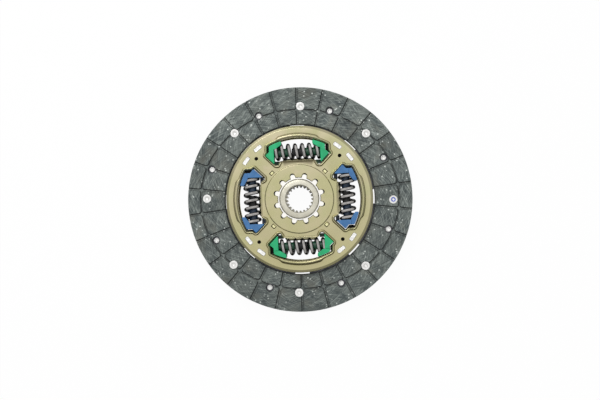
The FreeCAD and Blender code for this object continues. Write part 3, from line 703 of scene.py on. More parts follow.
def facing_rivets(material):
    """The rivets of both facings. The edges of their dimples are marked for painted shade."""
    rivet = facing_rivet()
    # Painted shade round each dimple's edge
    dimple_shade = bell(np.hypot(rivet[0][:, 0], rivet[0][:, 1]), DIMPLE_R, 0.35)
    dimple_shade *= rivet[0][:, 2] > FACING_FACE - HEAD_SINK - HEAD_T
    tones = {"dimple_shade": np.tile(dimple_shade, RIVETS)}
    one = shifted(rivet, RIVET_CIRCLE_R)
    front = ring_of(one, RIVETS, HEAD_ANGLE)
    rear = ring_of(mirrored(one, 2, CUSHION_PLANE), RIVETS, TAIL_ANGLE)
    piece("rivets_front", front, material, "disc", ["facing_rivets_front"], tones=tones)
    piece("rivets_rear", rear, material, "disc", ["facing_rivets_rear"], tones=tones)


def segment_rivets(material):
    """Round-headed rivets through the segments' feet and the disc plate."""
    low = DISC_PLATE_TOP - DISC_PLATE_T
    high = DISC_PLATE_TOP + SEGMENT_T
    head, tall, shank = SEGMENT_RIVET_HEAD_R, SEGMENT_RIVET_HEAD_T, SEGMENT_RIVET_SHANK_R
    dome = [(head * math.cos(a), tall * math.sin(a)) for a in np.radians((0, 20, 40, 60, 75, 90))]
    dome[-1] = (0.0, tall)
    profile = [(r, low - z) for r, z in dome[::-1]] + [(shank, low), (shank, high)]
    profile += [(r, high + z) for r, z in dome]
    one = shifted(lathe(profile, 28), SEGMENT_RIVET_R)
    feet = WINDOW_ANGLE + 180.0 / SEGMENTS
    both = [ring_of(one, SEGMENTS, feet + side * SEGMENT_RIVET_STEP / 2) for side in (-1, 1)]
    piece("foot_rivets", joined(*both), material, "disc", ["segment_rivets"])


def spacers(material):
    """Flat spacers between the plates, each with a tenon that is staked over in two places at both ends."""
    shoulder = spaced(bar(SPACER_SHOULDER), 1.5)
    tenon = spaced(bar(0.0), 0.8)
    low, high = heights("spacer_rivets")
    grid = np.array([(x, y) for x in np.linspace(-1.2, 1.2, 7) for y in np.linspace(-3.6, 3.6, 17)])
    wide, long = DENT_SIZE

    def staked(side, height):
        """The end's face with its two dents."""
        dents = sum(bell(grid[:, 0], 0, wide) * bell(grid[:, 1], at, long) for at in (-DENT_AT, DENT_AT))
        return at_height(grid + (SPACER_R, 0), height - side * DENT_DEPTH * dents)

    cap = skin([wall(tenon, low, high, 0.35)], staked(-1, low), staked(1, high))
    one = joined(slab([shoulder], DISC_PLATE_TOP, COVER_TOP - COVER_T, 0.2), cap)
    ends = [ring_of(one, WINDOWS, BETWEEN_WINDOWS + side * SPACER_HALF_ANGLE) for side in (-1, 1)]
    piece("spacers", joined(*ends), material, "disc", ["spacer_rivets"])


def bar(grow):
    """A spacer's rounded outline across the radius."""
    half_w = SPACER_W / 2 + grow
    half_l = SPACER_L / 2 + grow
    return oblong(SPACER_R - half_w, SPACER_R + half_w, -half_l, half_l, 0.6 * half_w, 18)


# Plates

def window_corners(end, play, notch_rise, outer, chord, lobe_half, round_by):
    """Half of a window's outline from the inner chord to the outer arc, as (x, y, radius) corners. The window
    follows the seats: a lobe below the heel, a slope along the nose, a notch and the end behind the back."""
    slant = play * math.sqrt(2)
    lobe, heel, nose, notch, tip = round_by
    corner_y = math.sqrt(outer ** 2 - end ** 2)
    return [chord, (lobe_half, LOBE_Y, lobe),
            (SPRING_HALF + slant - (HEEL_Y - LOBE_Y), LOBE_Y, heel), (TIP_X + slant, TIP_Y, nose),
            (end, TIP_Y + notch_rise, notch), (end, corner_y, tip)]


def window_loop(outer, chord, lobe_half):
    """A window's opening in a plate, with its middle on +Y, anticlockwise."""
    end = STEP_X + WINDOW_END_GAP
    half = window_corners(end, SEAT_PLAY, NOTCH_RISE, outer, chord, lobe_half, WINDOW_ROUNDS)
    span = math.degrees(math.asin(end / outer))
    arc = polar(outer, 90 + np.linspace(-span, span, 57)[2:-2])
    left = [(-x, y, r) for x, y, r in half[::-1]]
    return spaced(rounded(half + [(x, y, 0.0) for x, y in arc] + left, 15), OUTLINE_GAP)


def lip_sizes(loop, chord_lip):
    """Width, height, crest and fall of the edge at each point of a window's outline, blended along it."""
    outer = (np.abs(loop[:, 0]) < LOBE_HALF) & (loop[:, 1] > SPRING_R)
    corner = loop[:, 1] > TIP_Y + NOTCH_RISE + 2
    chord = (np.abs(loop[:, 0]) < CHORD_HALF) & (loop[:, 1] < SPRING_R)
    sizes = np.where(corner[:, None], LIP_CORNER, LIP_END)
    sizes = np.where(outer[:, None], LIP_OUTER, np.where(chord[:, None], chord_lip, sizes))
    step = np.linalg.norm(np.roll(loop, -1, 0) - loop, axis=1)
    for _ in range(LIP_BLENDING):
        after, before = np.roll(sizes, -1, 0), np.roll(sizes, 1, 0)
        near = np.clip(step / OUTLINE_GAP, 0.05, 1)[:, None]
        sizes = sizes + 0.25 * near * (after - 2 * sizes + before)
    return sizes.T


LIP_SHARES = np.array([0.0, 0.08, 0.16, 0.25, 0.34, 0.43, 0.52, 0.61, 0.7, 0.79, 0.87, 0.93, 0.97, 1.0])


def lip_form(share, crest, fall):
    """Height of the raised edge across it: rounded towards the window, 1 - fall * s^2, and on the far side
    ever steeper down to its foot, (1 - t^2)^foot."""
    s = np.clip((crest - share) / crest, 0, 1)
    t = np.clip((share - crest) / (1 - crest), 0, 1)
    return np.where(share < crest, 1 - fall * s ** 2, (1 - t ** 2) ** LIP_FOOT)


def lip_wall(loop, low, high, edge, chord_lip):
    """Rows round a window's edge of a plate: in over the raised edge below, round the sheet's edge and back
    out over the raised edge above."""
    normals = outward(loop)
    width, height, crest, fall = lip_sizes(loop, chord_lip)

    def across(face):
        """Rows of one face of the sheet from its edge outwards, with a narrow flat strip at the end."""
        steps = [(edge + (width - edge) * share, lip_form(share, crest, fall)) for share in LIP_SHARES[1:]]
        steps.append((width + FLAT_STRIP, 0.0))
        return [at_height(loop - normals * d[:, None], face + height * form) for d, form in steps]

    inside = wall(loop, low, high, edge)[1:-1]
    inside[..., 2] += height * lip_form(0.0, crest, fall)
    return np.array(across(low)[::-1] + list(inside) + across(high))


def lugged(radius, width, tip_r, steps):
    """A circle's outline with twelve round-ended lugs, anticlockwise."""
    half = math.degrees(math.asin(width / 2 / radius))
    points = []
    for middle in spread(WINDOW_ANGLE + LUG_ANGLE, LUGS):
        points.append(polar(radius, middle - half)[None])
        turn = middle + np.linspace(-90, 90, steps)
        points.append(polar(tip_r - width / 2, middle) + polar(width / 2, turn))
        points.append(polar(radius, np.linspace(middle + half, middle + 360.0 / LUGS - half, 5)[:-1]))
    return np.concatenate(points)


def plate_holes():
    """Outlines of the openings that both plates have, apart from the windows."""
    holes = [lugged(PLATE_BORE_R, NOTCH_W, NOTCH_TIP_R, 9)]
    for middle in spread(BETWEEN_WINDOWS, WINDOWS):
        holes.append(circle(PIN_HOLE_R, 24, *polar(PIN_HOLE_AT, middle)))
        holes += [turned(bar(SLOT_PLAY), middle + side * SPACER_HALF_ANGLE) for side in (-1, 1)]
    return holes


def thrust_slots():
    """Outlines of the cover's slots for the thrust ring's lugs."""
    wide = THRUST_LUG_W / 2 + THRUST_SLOT_PLAY
    deep = THRUST_LUG_T / 2 + THRUST_SLOT_PLAY
    slot = oblong(THRUST_LUG_AT - deep, THRUST_LUG_AT + deep, -wide, wide, 0.5, 30)
    return [turned(slot, angle) for angle in spread(BETWEEN_WINDOWS, WINDOWS)]


def window_turns():
    """How far each window is turned from the one with its middle on +Y."""
    return spread(WINDOW_ANGLE - 90, WINDOWS)


def dome(points):
    """Height of the cover's raised middle over its field: a smooth step at the dome's radius."""
    r = np.hypot(points[:, 0], points[:, 1])
    t = np.clip((DOME_R - r) / DOME_SLOPE, 0, 1)
    return DOME_RISE * smooth(t)


def domed(rows):
    """Rows lifted by the dome."""
    out = rows.copy()
    out[..., 2] += dome(rows.reshape(-1, 3)).reshape(rows.shape[:-1])
    return out


def dome_rings(height):
    """Points along the dome's step, where the cover's faces bend."""
    radii = DOME_R - DOME_SLOPE * np.array([-0.15, 0.0, 0.12, 0.28, 0.5, 0.72, 0.88, 1.0, 1.2])
    flat = np.concatenate([circle(r, 150) for r in radii])
    return at_height(flat, height + dome(flat))


def rim_rows():
    """Rows of the cover's rim from below: round the inner bend, down inside, round the sheet's end, up
    outside and round the outer bend. Each is a circle."""
    low = COVER_TOP - COVER_T
    bend = PLATE_R - RIM_BEND_R
    inner = RIM_BEND_R - COVER_T
    end = COVER_TOP - RIM_DROP
    width, drop = RIM_CONE
    rows = [(bend + inner * math.sin(a), low - inner * (1 - math.cos(a))) for a in QUARTER]
    inside = PLATE_R - COVER_T
    rows += [(inside, end + RIM_EDGE), (inside + 0.1, end + 0.1), (inside + RIM_EDGE, end)]
    rows += [(PLATE_R - RIM_EDGE, end), (PLATE_R - 0.1, end + 0.1), (PLATE_R, end + RIM_EDGE)]
    shoulder = COVER_TOP - drop
    rows += [(PLATE_R, shoulder - 0.7), (PLATE_R - 0.06, shoulder - 0.35), (PLATE_R - 0.2, shoulder - 0.12)]
    rows += [(PLATE_R - 0.4, shoulder), (PLATE_R - 0.9, COVER_TOP - drop * 0.76)]
    top = PLATE_R - width
    rows += [(top + 0.3, COVER_TOP - 0.16), (top + 0.12, COVER_TOP - 0.06), (top, COVER_TOP - 0.01)]
    rows += [(top - 0.1, COVER_TOP), (top - 0.14, COVER_TOP)]
    return np.array([at_height(circle(r, PLATE_POINTS), z) for r, z in rows])


def cover_shape():
    """The cover plate: a sheet with a raised middle, raised window edges and a rim bent down."""
    low = COVER_TOP - COVER_T
    window = window_loop(WINDOW_OUT_R, CHORD, LOBE_HALF)
    edge = lip_wall(hole(window), low, COVER_TOP, WINDOW_EDGE, LIP_CHORD)
    stacks = [rim_rows()] + [turned(edge, t) for t in window_turns()]
    for loop in plate_holes() + thrust_slots():
        stacks.append(domed(wall(hole(loop), low, COVER_TOP, SHEET_EDGE)))
    return skin(stacks, dome_rings(low), dome_rings(COVER_TOP))


# Middle and width of each strip of painted shade, as shares of the raised edge's width, and the narrowest
# edge that has them
PAINTED_SHADE_SLOPE = (0.74, 0.14)
PAINTED_SHADE_FOOT = (0.93, 0.06)
PAINTED_SHADE_EDGE = (0.0, 0.1)
PAINTED_SHADE_LEAST = 2.0


def painted_shade(points):
    """Painted shade on the cover, from 0 to 1: along the inner edge of the window on +Y, and round every
    window at the sheet's edge, in the bend at the raised edge's foot and on those of its slopes that fall
    towards -Y, away from the light."""
    loop = hole(window_loop(WINDOW_OUT_R, CHORD, LOBE_HALF))
    width = lip_sizes(loop, LIP_CHORD)[0]
    shade = np.zeros(len(points))
    for t in window_turns():
        local = turned(points, -t)
        gap = np.abs((local[:, 0] + 1j * local[:, 1])[:, None] - (loop[:, 0] + 1j * loop[:, 1]))
        near = gap.argmin(1)
        share = gap.min(1) / width[near]
        slope = -turned(outward(loop), t)[near, 1]
        # Painted shade on slopes that fall away from the light, in the bend at the foot and along the sheet's
        # edge
        far = bell(share, *PAINTED_SHADE_SLOPE) * np.clip(0.1 - 1.2 * slope, 0, 1)
        foot = 0.45 * bell(share, *PAINTED_SHADE_FOOT)
        edge = 0.5 * bell(share, *PAINTED_SHADE_EDGE)
        shade = np.maximum(shade, np.maximum(far, np.maximum(foot, edge)) * (width[near] > PAINTED_SHADE_LEAST))
    # Painted shade in a band along the inner edge of the window on +Y
    local = turned(points, -WINDOW_ANGLE)
    beside = np.clip((local[:, 1] - CHORD_Y + 2.0) / 0.5, 0, 1) * (local[:, 1] < CHORD_Y + 0.1)
    return {"shade": np.maximum(shade, beside * (np.abs(local[:, 0]) < CHORD_HALF - 0.5))}


def disc_plate_shape():
    """The disc plate, made with its outer face up and turned over. It has no dome, and its rim is flat."""
    high = 2 * CUSHION_PLANE - (DISC_PLATE_TOP - DISC_PLATE_T)
    low = high - DISC_PLATE_T
    window = window_loop(REAR_WINDOW_OUT_R, REAR_CHORD, REAR_LOBE_HALF)
    edge = lip_wall(hole(window), low, high, WINDOW_EDGE, REAR_LIP_CHORD)
    rim = wall(circle(PLATE_R, PLATE_POINTS), low, high, REAR_RIM_EDGE)
    stacks = [rim] + [turned(edge, t) for t in window_turns()]
    stacks += [wall(hole(loop), low, high, SHEET_EDGE) for loop in plate_holes()]
    return mirrored(skin(stacks), 2, CUSHION_PLANE)


def plates(material):
    cover = cover_shape()
    piece("cover", cover, material, "disc", ["cover_plate"], tones=painted_shade(cover[0]))
    piece("plate_rear", disc_plate_shape(), material, "disc", ["disc_plate"])


# Hub, bushes and washers

def spline_radius(angle):
    """The bore's radius at an angle: each tooth rises from the major to the minor radius between the share
    of the pitch at its root and that at its tip, and its corners are slightly round."""
    pitch = 360.0 / TEETH
    phase = np.abs((angle / pitch + 0.5) % 1.0 - 0.5)
    t = np.clip((phase - TOOTH_TIP / 2) / (TOOTH_ROOT / 2 - TOOTH_TIP / 2), 0, 1)
    return TOOTH_R + (SPLINE_R - TOOTH_R) * (0.7 * t + 0.3 * smooth(t))


def barrel():
    """The hub's barrel as a grid closed on itself: up the outside, over the face, down the splined bore and
    back under. In the bore the mouth's cone cuts the teeth: radius = max(spline, mouth - depth)."""
    share = np.array([0.0, 0.08, 0.14, 0.16, 0.178, 0.195, 0.212, 0.23, 0.25, 0.3, 0.38, 0.5])
    share = np.concatenate([share, 1 - share[-2:0:-1]])
    pitch = 360.0 / TEETH
    angle = ((np.arange(TEETH)[:, None] + share) * pitch).ravel()
    mouth = SPLINE_R + BORE_CHAMFER / 2
    flat_r = HUB_R - HUB_CHAMFER
    side = HUB_LOW + HUB_CHAMFER
    outside = [(mouth + 0.3, HUB_LOW), (flat_r - 0.1, HUB_LOW), (flat_r + 0.1, HUB_LOW + 0.08),
               (HUB_R - 0.08, side - 0.1), (HUB_R, side + 0.15)]
    outside += [(r, HUB_HIGH + HUB_LOW - z) for r, z in outside[::-1]]
    rows = [at_height(polar(r, angle), z) for r, z in outside]
    depths = np.array([0.0, 0.12, 0.35, 0.7, 1.1, 1.5, 1.9, 2.2, 2.6])
    levels = np.concatenate([HUB_HIGH - depths, HUB_LOW + depths[::-1]])
    for z in levels:
        depth = min(HUB_HIGH - z, z - HUB_LOW)
        radius = np.maximum(spline_radius(angle), mouth + 0.1 - depth)
        rows.append(at_height(polar(radius, angle), z))
    grid = np.array(rows)
    return grid.reshape(-1, 3), quads(len(grid), len(angle), close_rows=True).tolist()


def flange():
    """The hub's flange: four arms between open windows, whose sides seat the noses and backs of the seats."""
    end = STEP_X + FLANGE_PLAY
    half = window_corners(end, SEAT_PLAY, NOSE_TOP + NOSE_DROP + SEAT_PLAY, FLANGE_R, FLANGE_CHORD,
                          REAR_LOBE_HALF, FLANGE_ROUNDS)
    edge = math.degrees(math.asin(end / FLANGE_R))
    tip = polar(FLANGE_R, np.linspace(90 + edge, 180 - edge, 25)[3:-3])
    quarter = half[::-1] + [(-x, y, r) for x, y, r in half] + [(x, y, 0.0) for x, y in tip]
    corners = []
    for t in window_turns():
        places = turned(np.array([c[:2] for c in quarter]), t)
        corners += [(x, y, c[2]) for (x, y), c in zip(places, quarter)]
    bore = hole(circle(HUB_R - 1.3, 90))
    return slab([spaced(rounded(corners, 15), 2.0), bore], FLANGE_LOW, FLANGE_TOP, 0.3)


def hub(material):
    whole = joined(barrel(), spun(flange(), PACK_TURN))
    piece("hub_barrel", whole, material, "hub", ["hub"], sharp=40)


def ring_block(inner, outer, low, high, edge):
    """A turned ring with rounded edges."""
    return lathe(soft([(inner, low), (outer, low), (outer, high), (inner, high)], edge), 120)


def bush(sleeve, washer, star):
    """A sleeve on the barrel, a washer on the hub's flange and lugs in a plate's notches, each given by its
    lowest and highest height."""
    inner = HUB_R + BUSH_PLAY
    lugs = [lugged(STAR_R, BUSH_LUG_W, BUSH_LUG_TIP_R, 13), hole(circle(inner + 0.1, 72))]
    return joined(ring_block(inner, SLEEVE_R, *sleeve, 0.25),
                  ring_block(SLEEVE_R - WASHER_LAP, BUSH_FLANGE_R, *washer, 0.2), slab(lugs, *star, 0.2))


def bushes(material):
    """The two bushes. The front one has a collar on top, and the rear one has a thicker washer."""
    front = bush((FRONT_BUSH_LOW, DOME_TOP), (FRONT_BUSH_LOW, THRUST_LOW),
                 (DOME_TOP - COVER_T, DOME_TOP + STAR_STAND))
    top = ring_block(HUB_R + BUSH_PLAY, COLLAR_R, COLLAR_LOW, FRONT_BUSH_HIGH, 0.1)
    rear = bush((REAR_BUSH_LOW, REAR_BUSH_HIGH), (DISC_PLATE_TOP, REAR_BUSH_HIGH),
                (DISC_PLATE_TOP - DISC_PLATE_T, DISC_PLATE_TOP))
    piece("bush_cover_side", joined(front, top), material, "disc", ["bush_front"])
    piece("bush_plate_side", rear, material, "disc", ["bush_rear"])


def thrust_ring(material):
    """A flat ring with four arms, whose ends are bent up as lugs."""
    arm = THRUST_LUG_W / 2
    reach = THRUST_LUG_AT + THRUST_LUG_T / 2
    half = math.degrees(math.asin(arm / THRUST_R))
    corners = []
    for middle in spread(BETWEEN_WINDOWS, WINDOWS):
        corners += [(*p, 0.3) for p in turned(np.array([(reach, -arm), (reach, arm)]), middle)]
        rest = np.linspace(middle + half, middle + 360.0 / WINDOWS - half, 40)
        corners += [(*p, 0.0) for p in polar(THRUST_R, rest)]
    flat = slab([rounded(corners, 30), hole(circle(THRUST_BORE_R, 120))],
                THRUST_LOW, THRUST_LOW + THRUST_T, 0.12)
    lug = oblong(reach - THRUST_LUG_T, reach, -arm, arm, 0.4, 30)
    lug = slab([lug], THRUST_LOW + 0.1, THRUST_LUG_TOP, 0.35)
    whole = joined(flat, ring_of(lug, WINDOWS, BETWEEN_WINDOWS))
    piece("thrust_washer", whole, material, "disc", ["thrust_ring"])


# Springs, seats and stoppers

def coil_place(turn):
    """Place along the spring of each turn from its middle: the pitch is even in the middle and closes up
    smoothly over the last turn at each end."""
    k = np.abs(turn)
    even = SPRING_TURNS / 2 - 1.0
    past = np.maximum(k - even, 0)
    return np.sign(turn) * (COIL_PITCH * k - (COIL_PITCH - END_PITCH) * past ** 2 / 2)


def coil(phase):
    """A round wire along a right-handed helix: each point is centre + wire * (cos b * out + sin b * across),
    kept between the two flat ground ends."""
    turn = np.linspace(-SPRING_TURNS / 2, SPRING_TURNS / 2, round(SPRING_TURNS * 40))
    around = np.arange(18) * 2 * math.pi / 18
    angle = 2 * math.pi * turn + math.radians(phase)
    mean = SPRING_OUT_R - WIRE_R
    out = np.stack([np.cos(angle), np.sin(angle), 0 * angle], 1)
    rise = np.gradient(coil_place(turn), turn) / (2 * math.pi * mean)
    along = np.stack([-np.sin(angle), np.cos(angle), rise], 1)
    along /= np.linalg.norm(along, axis=1)[:, None]
    across = np.cross(along, out)
    centre = out * mean + np.stack([0 * turn, 0 * turn, coil_place(turn)], 1)
    grid = centre[:, None] + WIRE_R * (np.cos(around)[None, :, None] * out[:, None]
                                       + np.sin(around)[None, :, None] * across[:, None])
    grid[..., 2] = np.clip(grid[..., 2], -SPRING_HALF, SPRING_HALF)
    rows, columns = grid.shape[:2]
    faces = quads(rows, columns)[:, ::-1].tolist()
    ends = centre[[0, -1]]
    ends[:, 2] = np.clip(ends[:, 2], -SPRING_HALF, SPRING_HALF)
    points = np.concatenate([grid.reshape(-1, 3), ends])
    first = rows * columns
    last = (rows - 1) * columns
    faces += [[k, (k + 1) % columns, first] for k in range(columns)]
    faces += [[last + (k + 1) % columns, last + k, first + 1] for k in range(columns)]
    # Painted highlight along the outside of each turn where the wire faces up to the light; it is kept as the
    # attribute outer
    upward = np.clip((-np.cos(angle) - 0.5) / 0.2, 0, 1)
    painted_highlight = (upward[:, None] * np.cos(around)).ravel()
    return (points, faces), {"outer": np.concatenate([painted_highlight, [0.0, 0.0]])}


def seat():
    """The seat at a spring's right end. The back with its nose stands a step higher than the arm that reaches
    over the spring, both are hollowed by the spring's own round, and a peg stands in the spring. A thin foot
    reaches inwards between the disc plate and the flange. The points of peg and foot are marked for painted
    shade: the peg stands in the coil's shade, and the dark foot stands for the shade under the spring's end."""
    outer = SEAT_OUT_R
    root = SPRING_HALF - BACK_LAP
    tip = SPRING_HALF - ARM_LENGTH
    inner = SPRING_R + ARM_ROOT

    def on_arc(x):
        return math.sqrt(outer ** 2 - x ** 2)

    def along_arc(start, stop, count):
        return [(x, on_arc(x), 0.0) for x in np.linspace(start, stop, count)[1:-1]]

    back = [(SPRING_HALF, HEEL_Y, 0.5), (TIP_X, TIP_Y, 1.0), (STEP_X, SPRING_R + NOSE_TOP, 0.8),
            (STEP_X, inner, 0.6), (SPRING_HALF, inner, 0.5)]
    arm = [(tip, SPRING_R + ARM_LIP, 0.6), (root, inner - 0.6, 0.6), (STEP_X, inner - 0.6, 0.6),
           (STEP_X, on_arc(STEP_X), 1.2), *along_arc(STEP_X, tip, 11), (tip, on_arc(tip), 0.8)]
    round_r = SPRING_OUT_R + SPRING_PLAY
    hollow = along_spring(rod(round_r, -SPRING_HALF, SPRING_HALF, 72))
    blocks = []
    for outline, step in ((back, 0.0), (arm, ARM_STEP)):
        block = slab([spaced(rounded(outline, 20), 1.5)], SEAT_LOW + step, SEAT_HIGH - step, 0.45)
        blocks.append(carved(block, hollow, "seat"))
    start = SPRING_HALF - PEG_LENGTH
    peg = lathe([(0, start), (PEG_R - 1.0, start), (PEG_R - 0.5, start + 0.3), (PEG_R - 0.1, start + 1.0),
                 (PEG_R, start + 1.6), (PEG_R, SPRING_HALF + 1), (0, SPRING_HALF + 1)], 36)
    foot_tip, foot_low, foot_high = FOOT
    sole = oblong(foot_tip, SPRING_HALF + 1, foot_low, foot_high, 0.6)
    foot = slab([sole], DISC_PLATE_TOP + FOOT_PLAY, FLANGE_LOW - FOOT_PLAY, 0.15)
    whole = joined(*blocks, foot, shifted(along_spring(peg), y=-PEG_DROP))
    # Painted shade on the peg and the foot
    shade = np.zeros(len(whole[0]))
    shade[-len(peg[0]) - len(foot[0]):] = 1.0
    return whole, {"shade": shade}


def stopper():
    """A rubber bumper with a waist: radius = full - (full - waist) * cos(pi z / length)^2."""
    z = np.linspace(-1, 1, 15)
    waist = STOPPER_R - (STOPPER_R - STOPPER_WAIST_R) * np.cos(math.pi * z / 2) ** 2
    past = np.maximum((np.abs(z) - 0.85) / 0.15, 0)
    end = STOPPER_END * (np.sqrt(np.maximum(1 - past ** 2, 0)) - 1)
    profile = [(0, -STOPPER_HALF)] + list(zip(waist + end, z * STOPPER_HALF)) + [(0, STOPPER_HALF)]
    return shifted(along_spring(lathe(profile, 36)), y=-PEG_DROP)


SEAT_LEAN = 20.0            # degrees that a seat's way leans outwards, as it follows a circle


def spring_packs(looks):
    """The four springs with their seats and stoppers, each turned into its window and given a mesh of its
    own.
    A middle and a leaning axis are worked out for each, but nothing uses them."""
    right, shade = seat()
    left = mirrored(right, 0)
    rubber = stopper()
    middle = np.array([0.0, SPRING_R, SPRING_PLANE])
    for n, window in enumerate(window_turns(), 1):
        t = window + PACK_TURN
        centre = turned(middle, t) * MM
        # outer holds the wire's painted highlight
        spring, outer = coil(SPRING_PHASES[n - 1])
        colour = "blue_seat" if n % 2 else "green_seat"
        made = [(f"coil_spring_{n}", along_spring(spring), "spring_steel", f"damper_spring_{n}", 0.0, outer),
                (f"stop_rubber_{n}", rubber, "rubber", f"stopper_{n}", 0.0, None),
                (f"seat_{n}_right", right, colour, f"spring_seat_{n}_right", 1.0, shade),
                (f"seat_{n}_left", left, colour, f"spring_seat_{n}_left", -1.0, shade)]
        for name, part, finish, node, side, tones in made:
            thing = piece(name, spun(part, t), looks[finish], "spring_pack", [node], tones=tones)
            axis = turned(np.array([1.0, 0.0, 0.0]), t - side * SEAT_LEAN)
            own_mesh(thing)


# Finishes

def tint(red, green, blue):
    """A colour as it shows on a screen, 0 to 255, for a shader."""
    c = np.array([red, green, blue]) / 255
    return (*np.where(c <= 0.04045, c / 12.92, ((c + 0.055) / 1.055) ** 2.4), 1.0)


class Graph:
    """A tree of shader nodes. An input is a number, a colour or the output of another node."""

    def __init__(self, tree):
        self.tree = tree

    def join(self, value, socket):
        if isinstance(value, bpy.types.NodeSocket):
            self.tree.links.new(value, socket)
        else:
            socket.default_value = value

    def node(self, kind, inputs=(), **settings):
        made = self.tree.nodes.new("ShaderNode" + kind)
        for key, value in settings.items():
            setattr(made, key, value)
        for key, value in dict(inputs).items():
            self.join(value, made.inputs[key])
        return made

    def calc(self, operation, *values):
        return self.node("Math", dict(enumerate(values)), operation=operation).outputs[0]

    def times(self, first, second):
        return self.calc("MULTIPLY", first, second)

    def larger(self, first, second):
        return self.calc("MAXIMUM", first, second)


class Look(Graph):
    """A material in the making: layers of colour, a roughness and a fine bump."""

    def __init__(self, name, colour, roughness, metallic=0.0):
        self.material = bpy.data.materials.new(name)
        self.material.use_nodes = True
        super().__init__(self.material.node_tree)
        self.shader = self.tree.nodes["Principled BSDF"]
        self.colour = colour
        for key, value in (("Base Color", colour), ("Roughness", roughness), ("Metallic", metallic)):
            self.join(value, self.shader.inputs[key])

    def place(self):
        """Object coordinates."""
        return self.node("TexCoord").outputs["Object"]

    def parts(self, vector=None):
        """x, y and z of the place, or of another vector."""
        return self.node("SeparateXYZ", {0: vector or self.place()}).outputs

    def vector(self, x, y, z=0.0):
        return self.node("CombineXYZ", {0: x, 1: y, 2: z}).outputs[0]

    def length(self, vector):
        return self.node("VectorMath", {0: vector}, operation="LENGTH").outputs[1]

    def mark(self, name):
        """A number that the mesh keeps for each of its points."""
        return self.node("Attribute", attribute_name=name).outputs["Fac"]

    def noise(self, scale, detail=2.0, roughness=0.5, vector=None):
        inputs = {"Vector": vector or self.place(), "Scale": scale, "Detail": detail, "Roughness": roughness}
        return self.node("TexNoise", inputs).outputs[0]

    def between(self, value, low, high, to_low=0.0, to_high=1.0):
        """A value's place between two others, kept within them."""
        return self.node("MapRange", {0: value, 1: low, 2: high, 3: to_low, 4: to_high}).outputs[0]

    def paint(self, share, colour, strength=1.0):
        """Lays a colour over the others by a share."""
        share = share if strength == 1.0 else self.times(share, strength)
        self.colour = self.node("Mix", {0: share, 6: self.colour, 7: colour}, data_type="RGBA").outputs[2]

    def clouded(self, cloud, low, high, first, second):
        """Begins with two colours, blended by a noise."""
        self.colour = first
        self.paint(self.between(cloud, low, high), second)

    def done(self, roughness, bump, depth):
        """The material, with a bump whose depth is in millimetres."""
        relief = self.node("Bump", {"Height": bump, "Strength": 1.0, "Distance": depth * MM})
        self.join(self.colour, self.shader.inputs["Base Color"])
        self.join(roughness, self.shader.inputs["Roughness"])
        self.join(relief.outputs["Normal"], self.shader.inputs["Normal"])
        return self.material


YARN_STEP = 5.6 * MM        # how far a yarn winds outwards over one radian of the pattern
YARN_SLANT = 8.0
YARN_LONG = 11.6
YARN_FINE = 8.0


def yarn(look, slant):
    """Streaks along wound yarn. The yarns keep r / step - slant * angle the same, and the noise is stretched
    along them: it is read in four dimensions so that it closes round the ring."""
    x, y, _ = look.parts()
    flat = look.vector(x, y)
    unit = look.node("VectorMath", {0: flat}, operation="NORMALIZE").outputs[0]
    around = look.parts(unit)
    angle = look.calc("ARCTAN2", y, x)
    wound = look.calc("MULTIPLY_ADD", angle, slant, look.calc("DIVIDE", look.length(flat), YARN_STEP))
    cosine = look.times(look.calc("COSINE", wound), YARN_FINE)
    sine = look.times(look.calc("SINE", wound), YARN_FINE)
    vector = look.vector(look.times(around[0], YARN_LONG), look.times(around[1], YARN_LONG), cosine)
    inputs = {"Vector": vector, "W": sine, "Scale": 1.0, "Detail": 3.0, "Roughness": 0.6}
    return look.node("TexNoise", inputs, noise_dimensions="4D").outputs[0]


def lining_finish():
    """Pressed lining: grey-green and mottled, with pale crossing yarns and a few whitish specks. Each block
    has a tone of its own. Painted shadow darkens the corner of a groove's floor and the bore's edge, and
    painted shade makes all of it darker towards -Y."""
    look = Look("friction_lining", tint(96, 103, 100), 0.8)
    first = yarn(look, YARN_SLANT)
    second = yarn(look, -YARN_SLANT)
    broad = look.noise(90.0, 3.0, 0.6)
    fine = look.noise(1400.0, 2.0, 0.6)
    look.clouded(broad, 0.35, 0.65, tint(68, 77, 77), tint(108, 115, 111))
    pale = look.larger(look.between(first, 0.53, 0.64), look.between(second, 0.54, 0.66))
    look.paint(pale, tint(164, 172, 166), 0.7)
    dark = look.larger(look.between(first, 0.43, 0.3), look.between(second, 0.43, 0.3))
    look.paint(dark, tint(34, 39, 39), 0.8)
    look.paint(look.between(look.noise(45.0), 0.56, 0.7, 0.0, 0.35), tint(100, 94, 80))
    speck = look.node("TexVoronoi", {"Vector": look.place(), "Scale": 300.0}).outputs["Distance"]
    chosen = look.between(look.noise(120.0, 1.0), 0.5, 0.58)
    look.paint(look.times(look.between(speck, 0.27, 0.14), chosen), tint(216, 222, 216), 0.9)
    lit = look.calc("ADD", 1.0, look.times(look.mark("tone"), 0.15))
    look.colour = look.node("VectorMath", {0: look.colour, "Scale": lit}, operation="SCALE").outputs[0]
    # Painted shade: darker towards -Y, away from the light
    lower = look.between(look.parts()[1], FACING_R * MM, -FACING_R * MM, 0.0, 0.2)
    look.paint(lower, tint(54, 60, 58))
    # Painted shadow in the grooves' corners and painted shade at the bore's edge
    look.paint(look.mark("corner"), tint(12, 14, 14))
    height = look.calc("ADD", look.times(fine, 0.5), look.calc("ADD", first, second))
    return look.done(look.between(broad, 0.3, 0.7, 0.7, 0.88), height, 0.12)


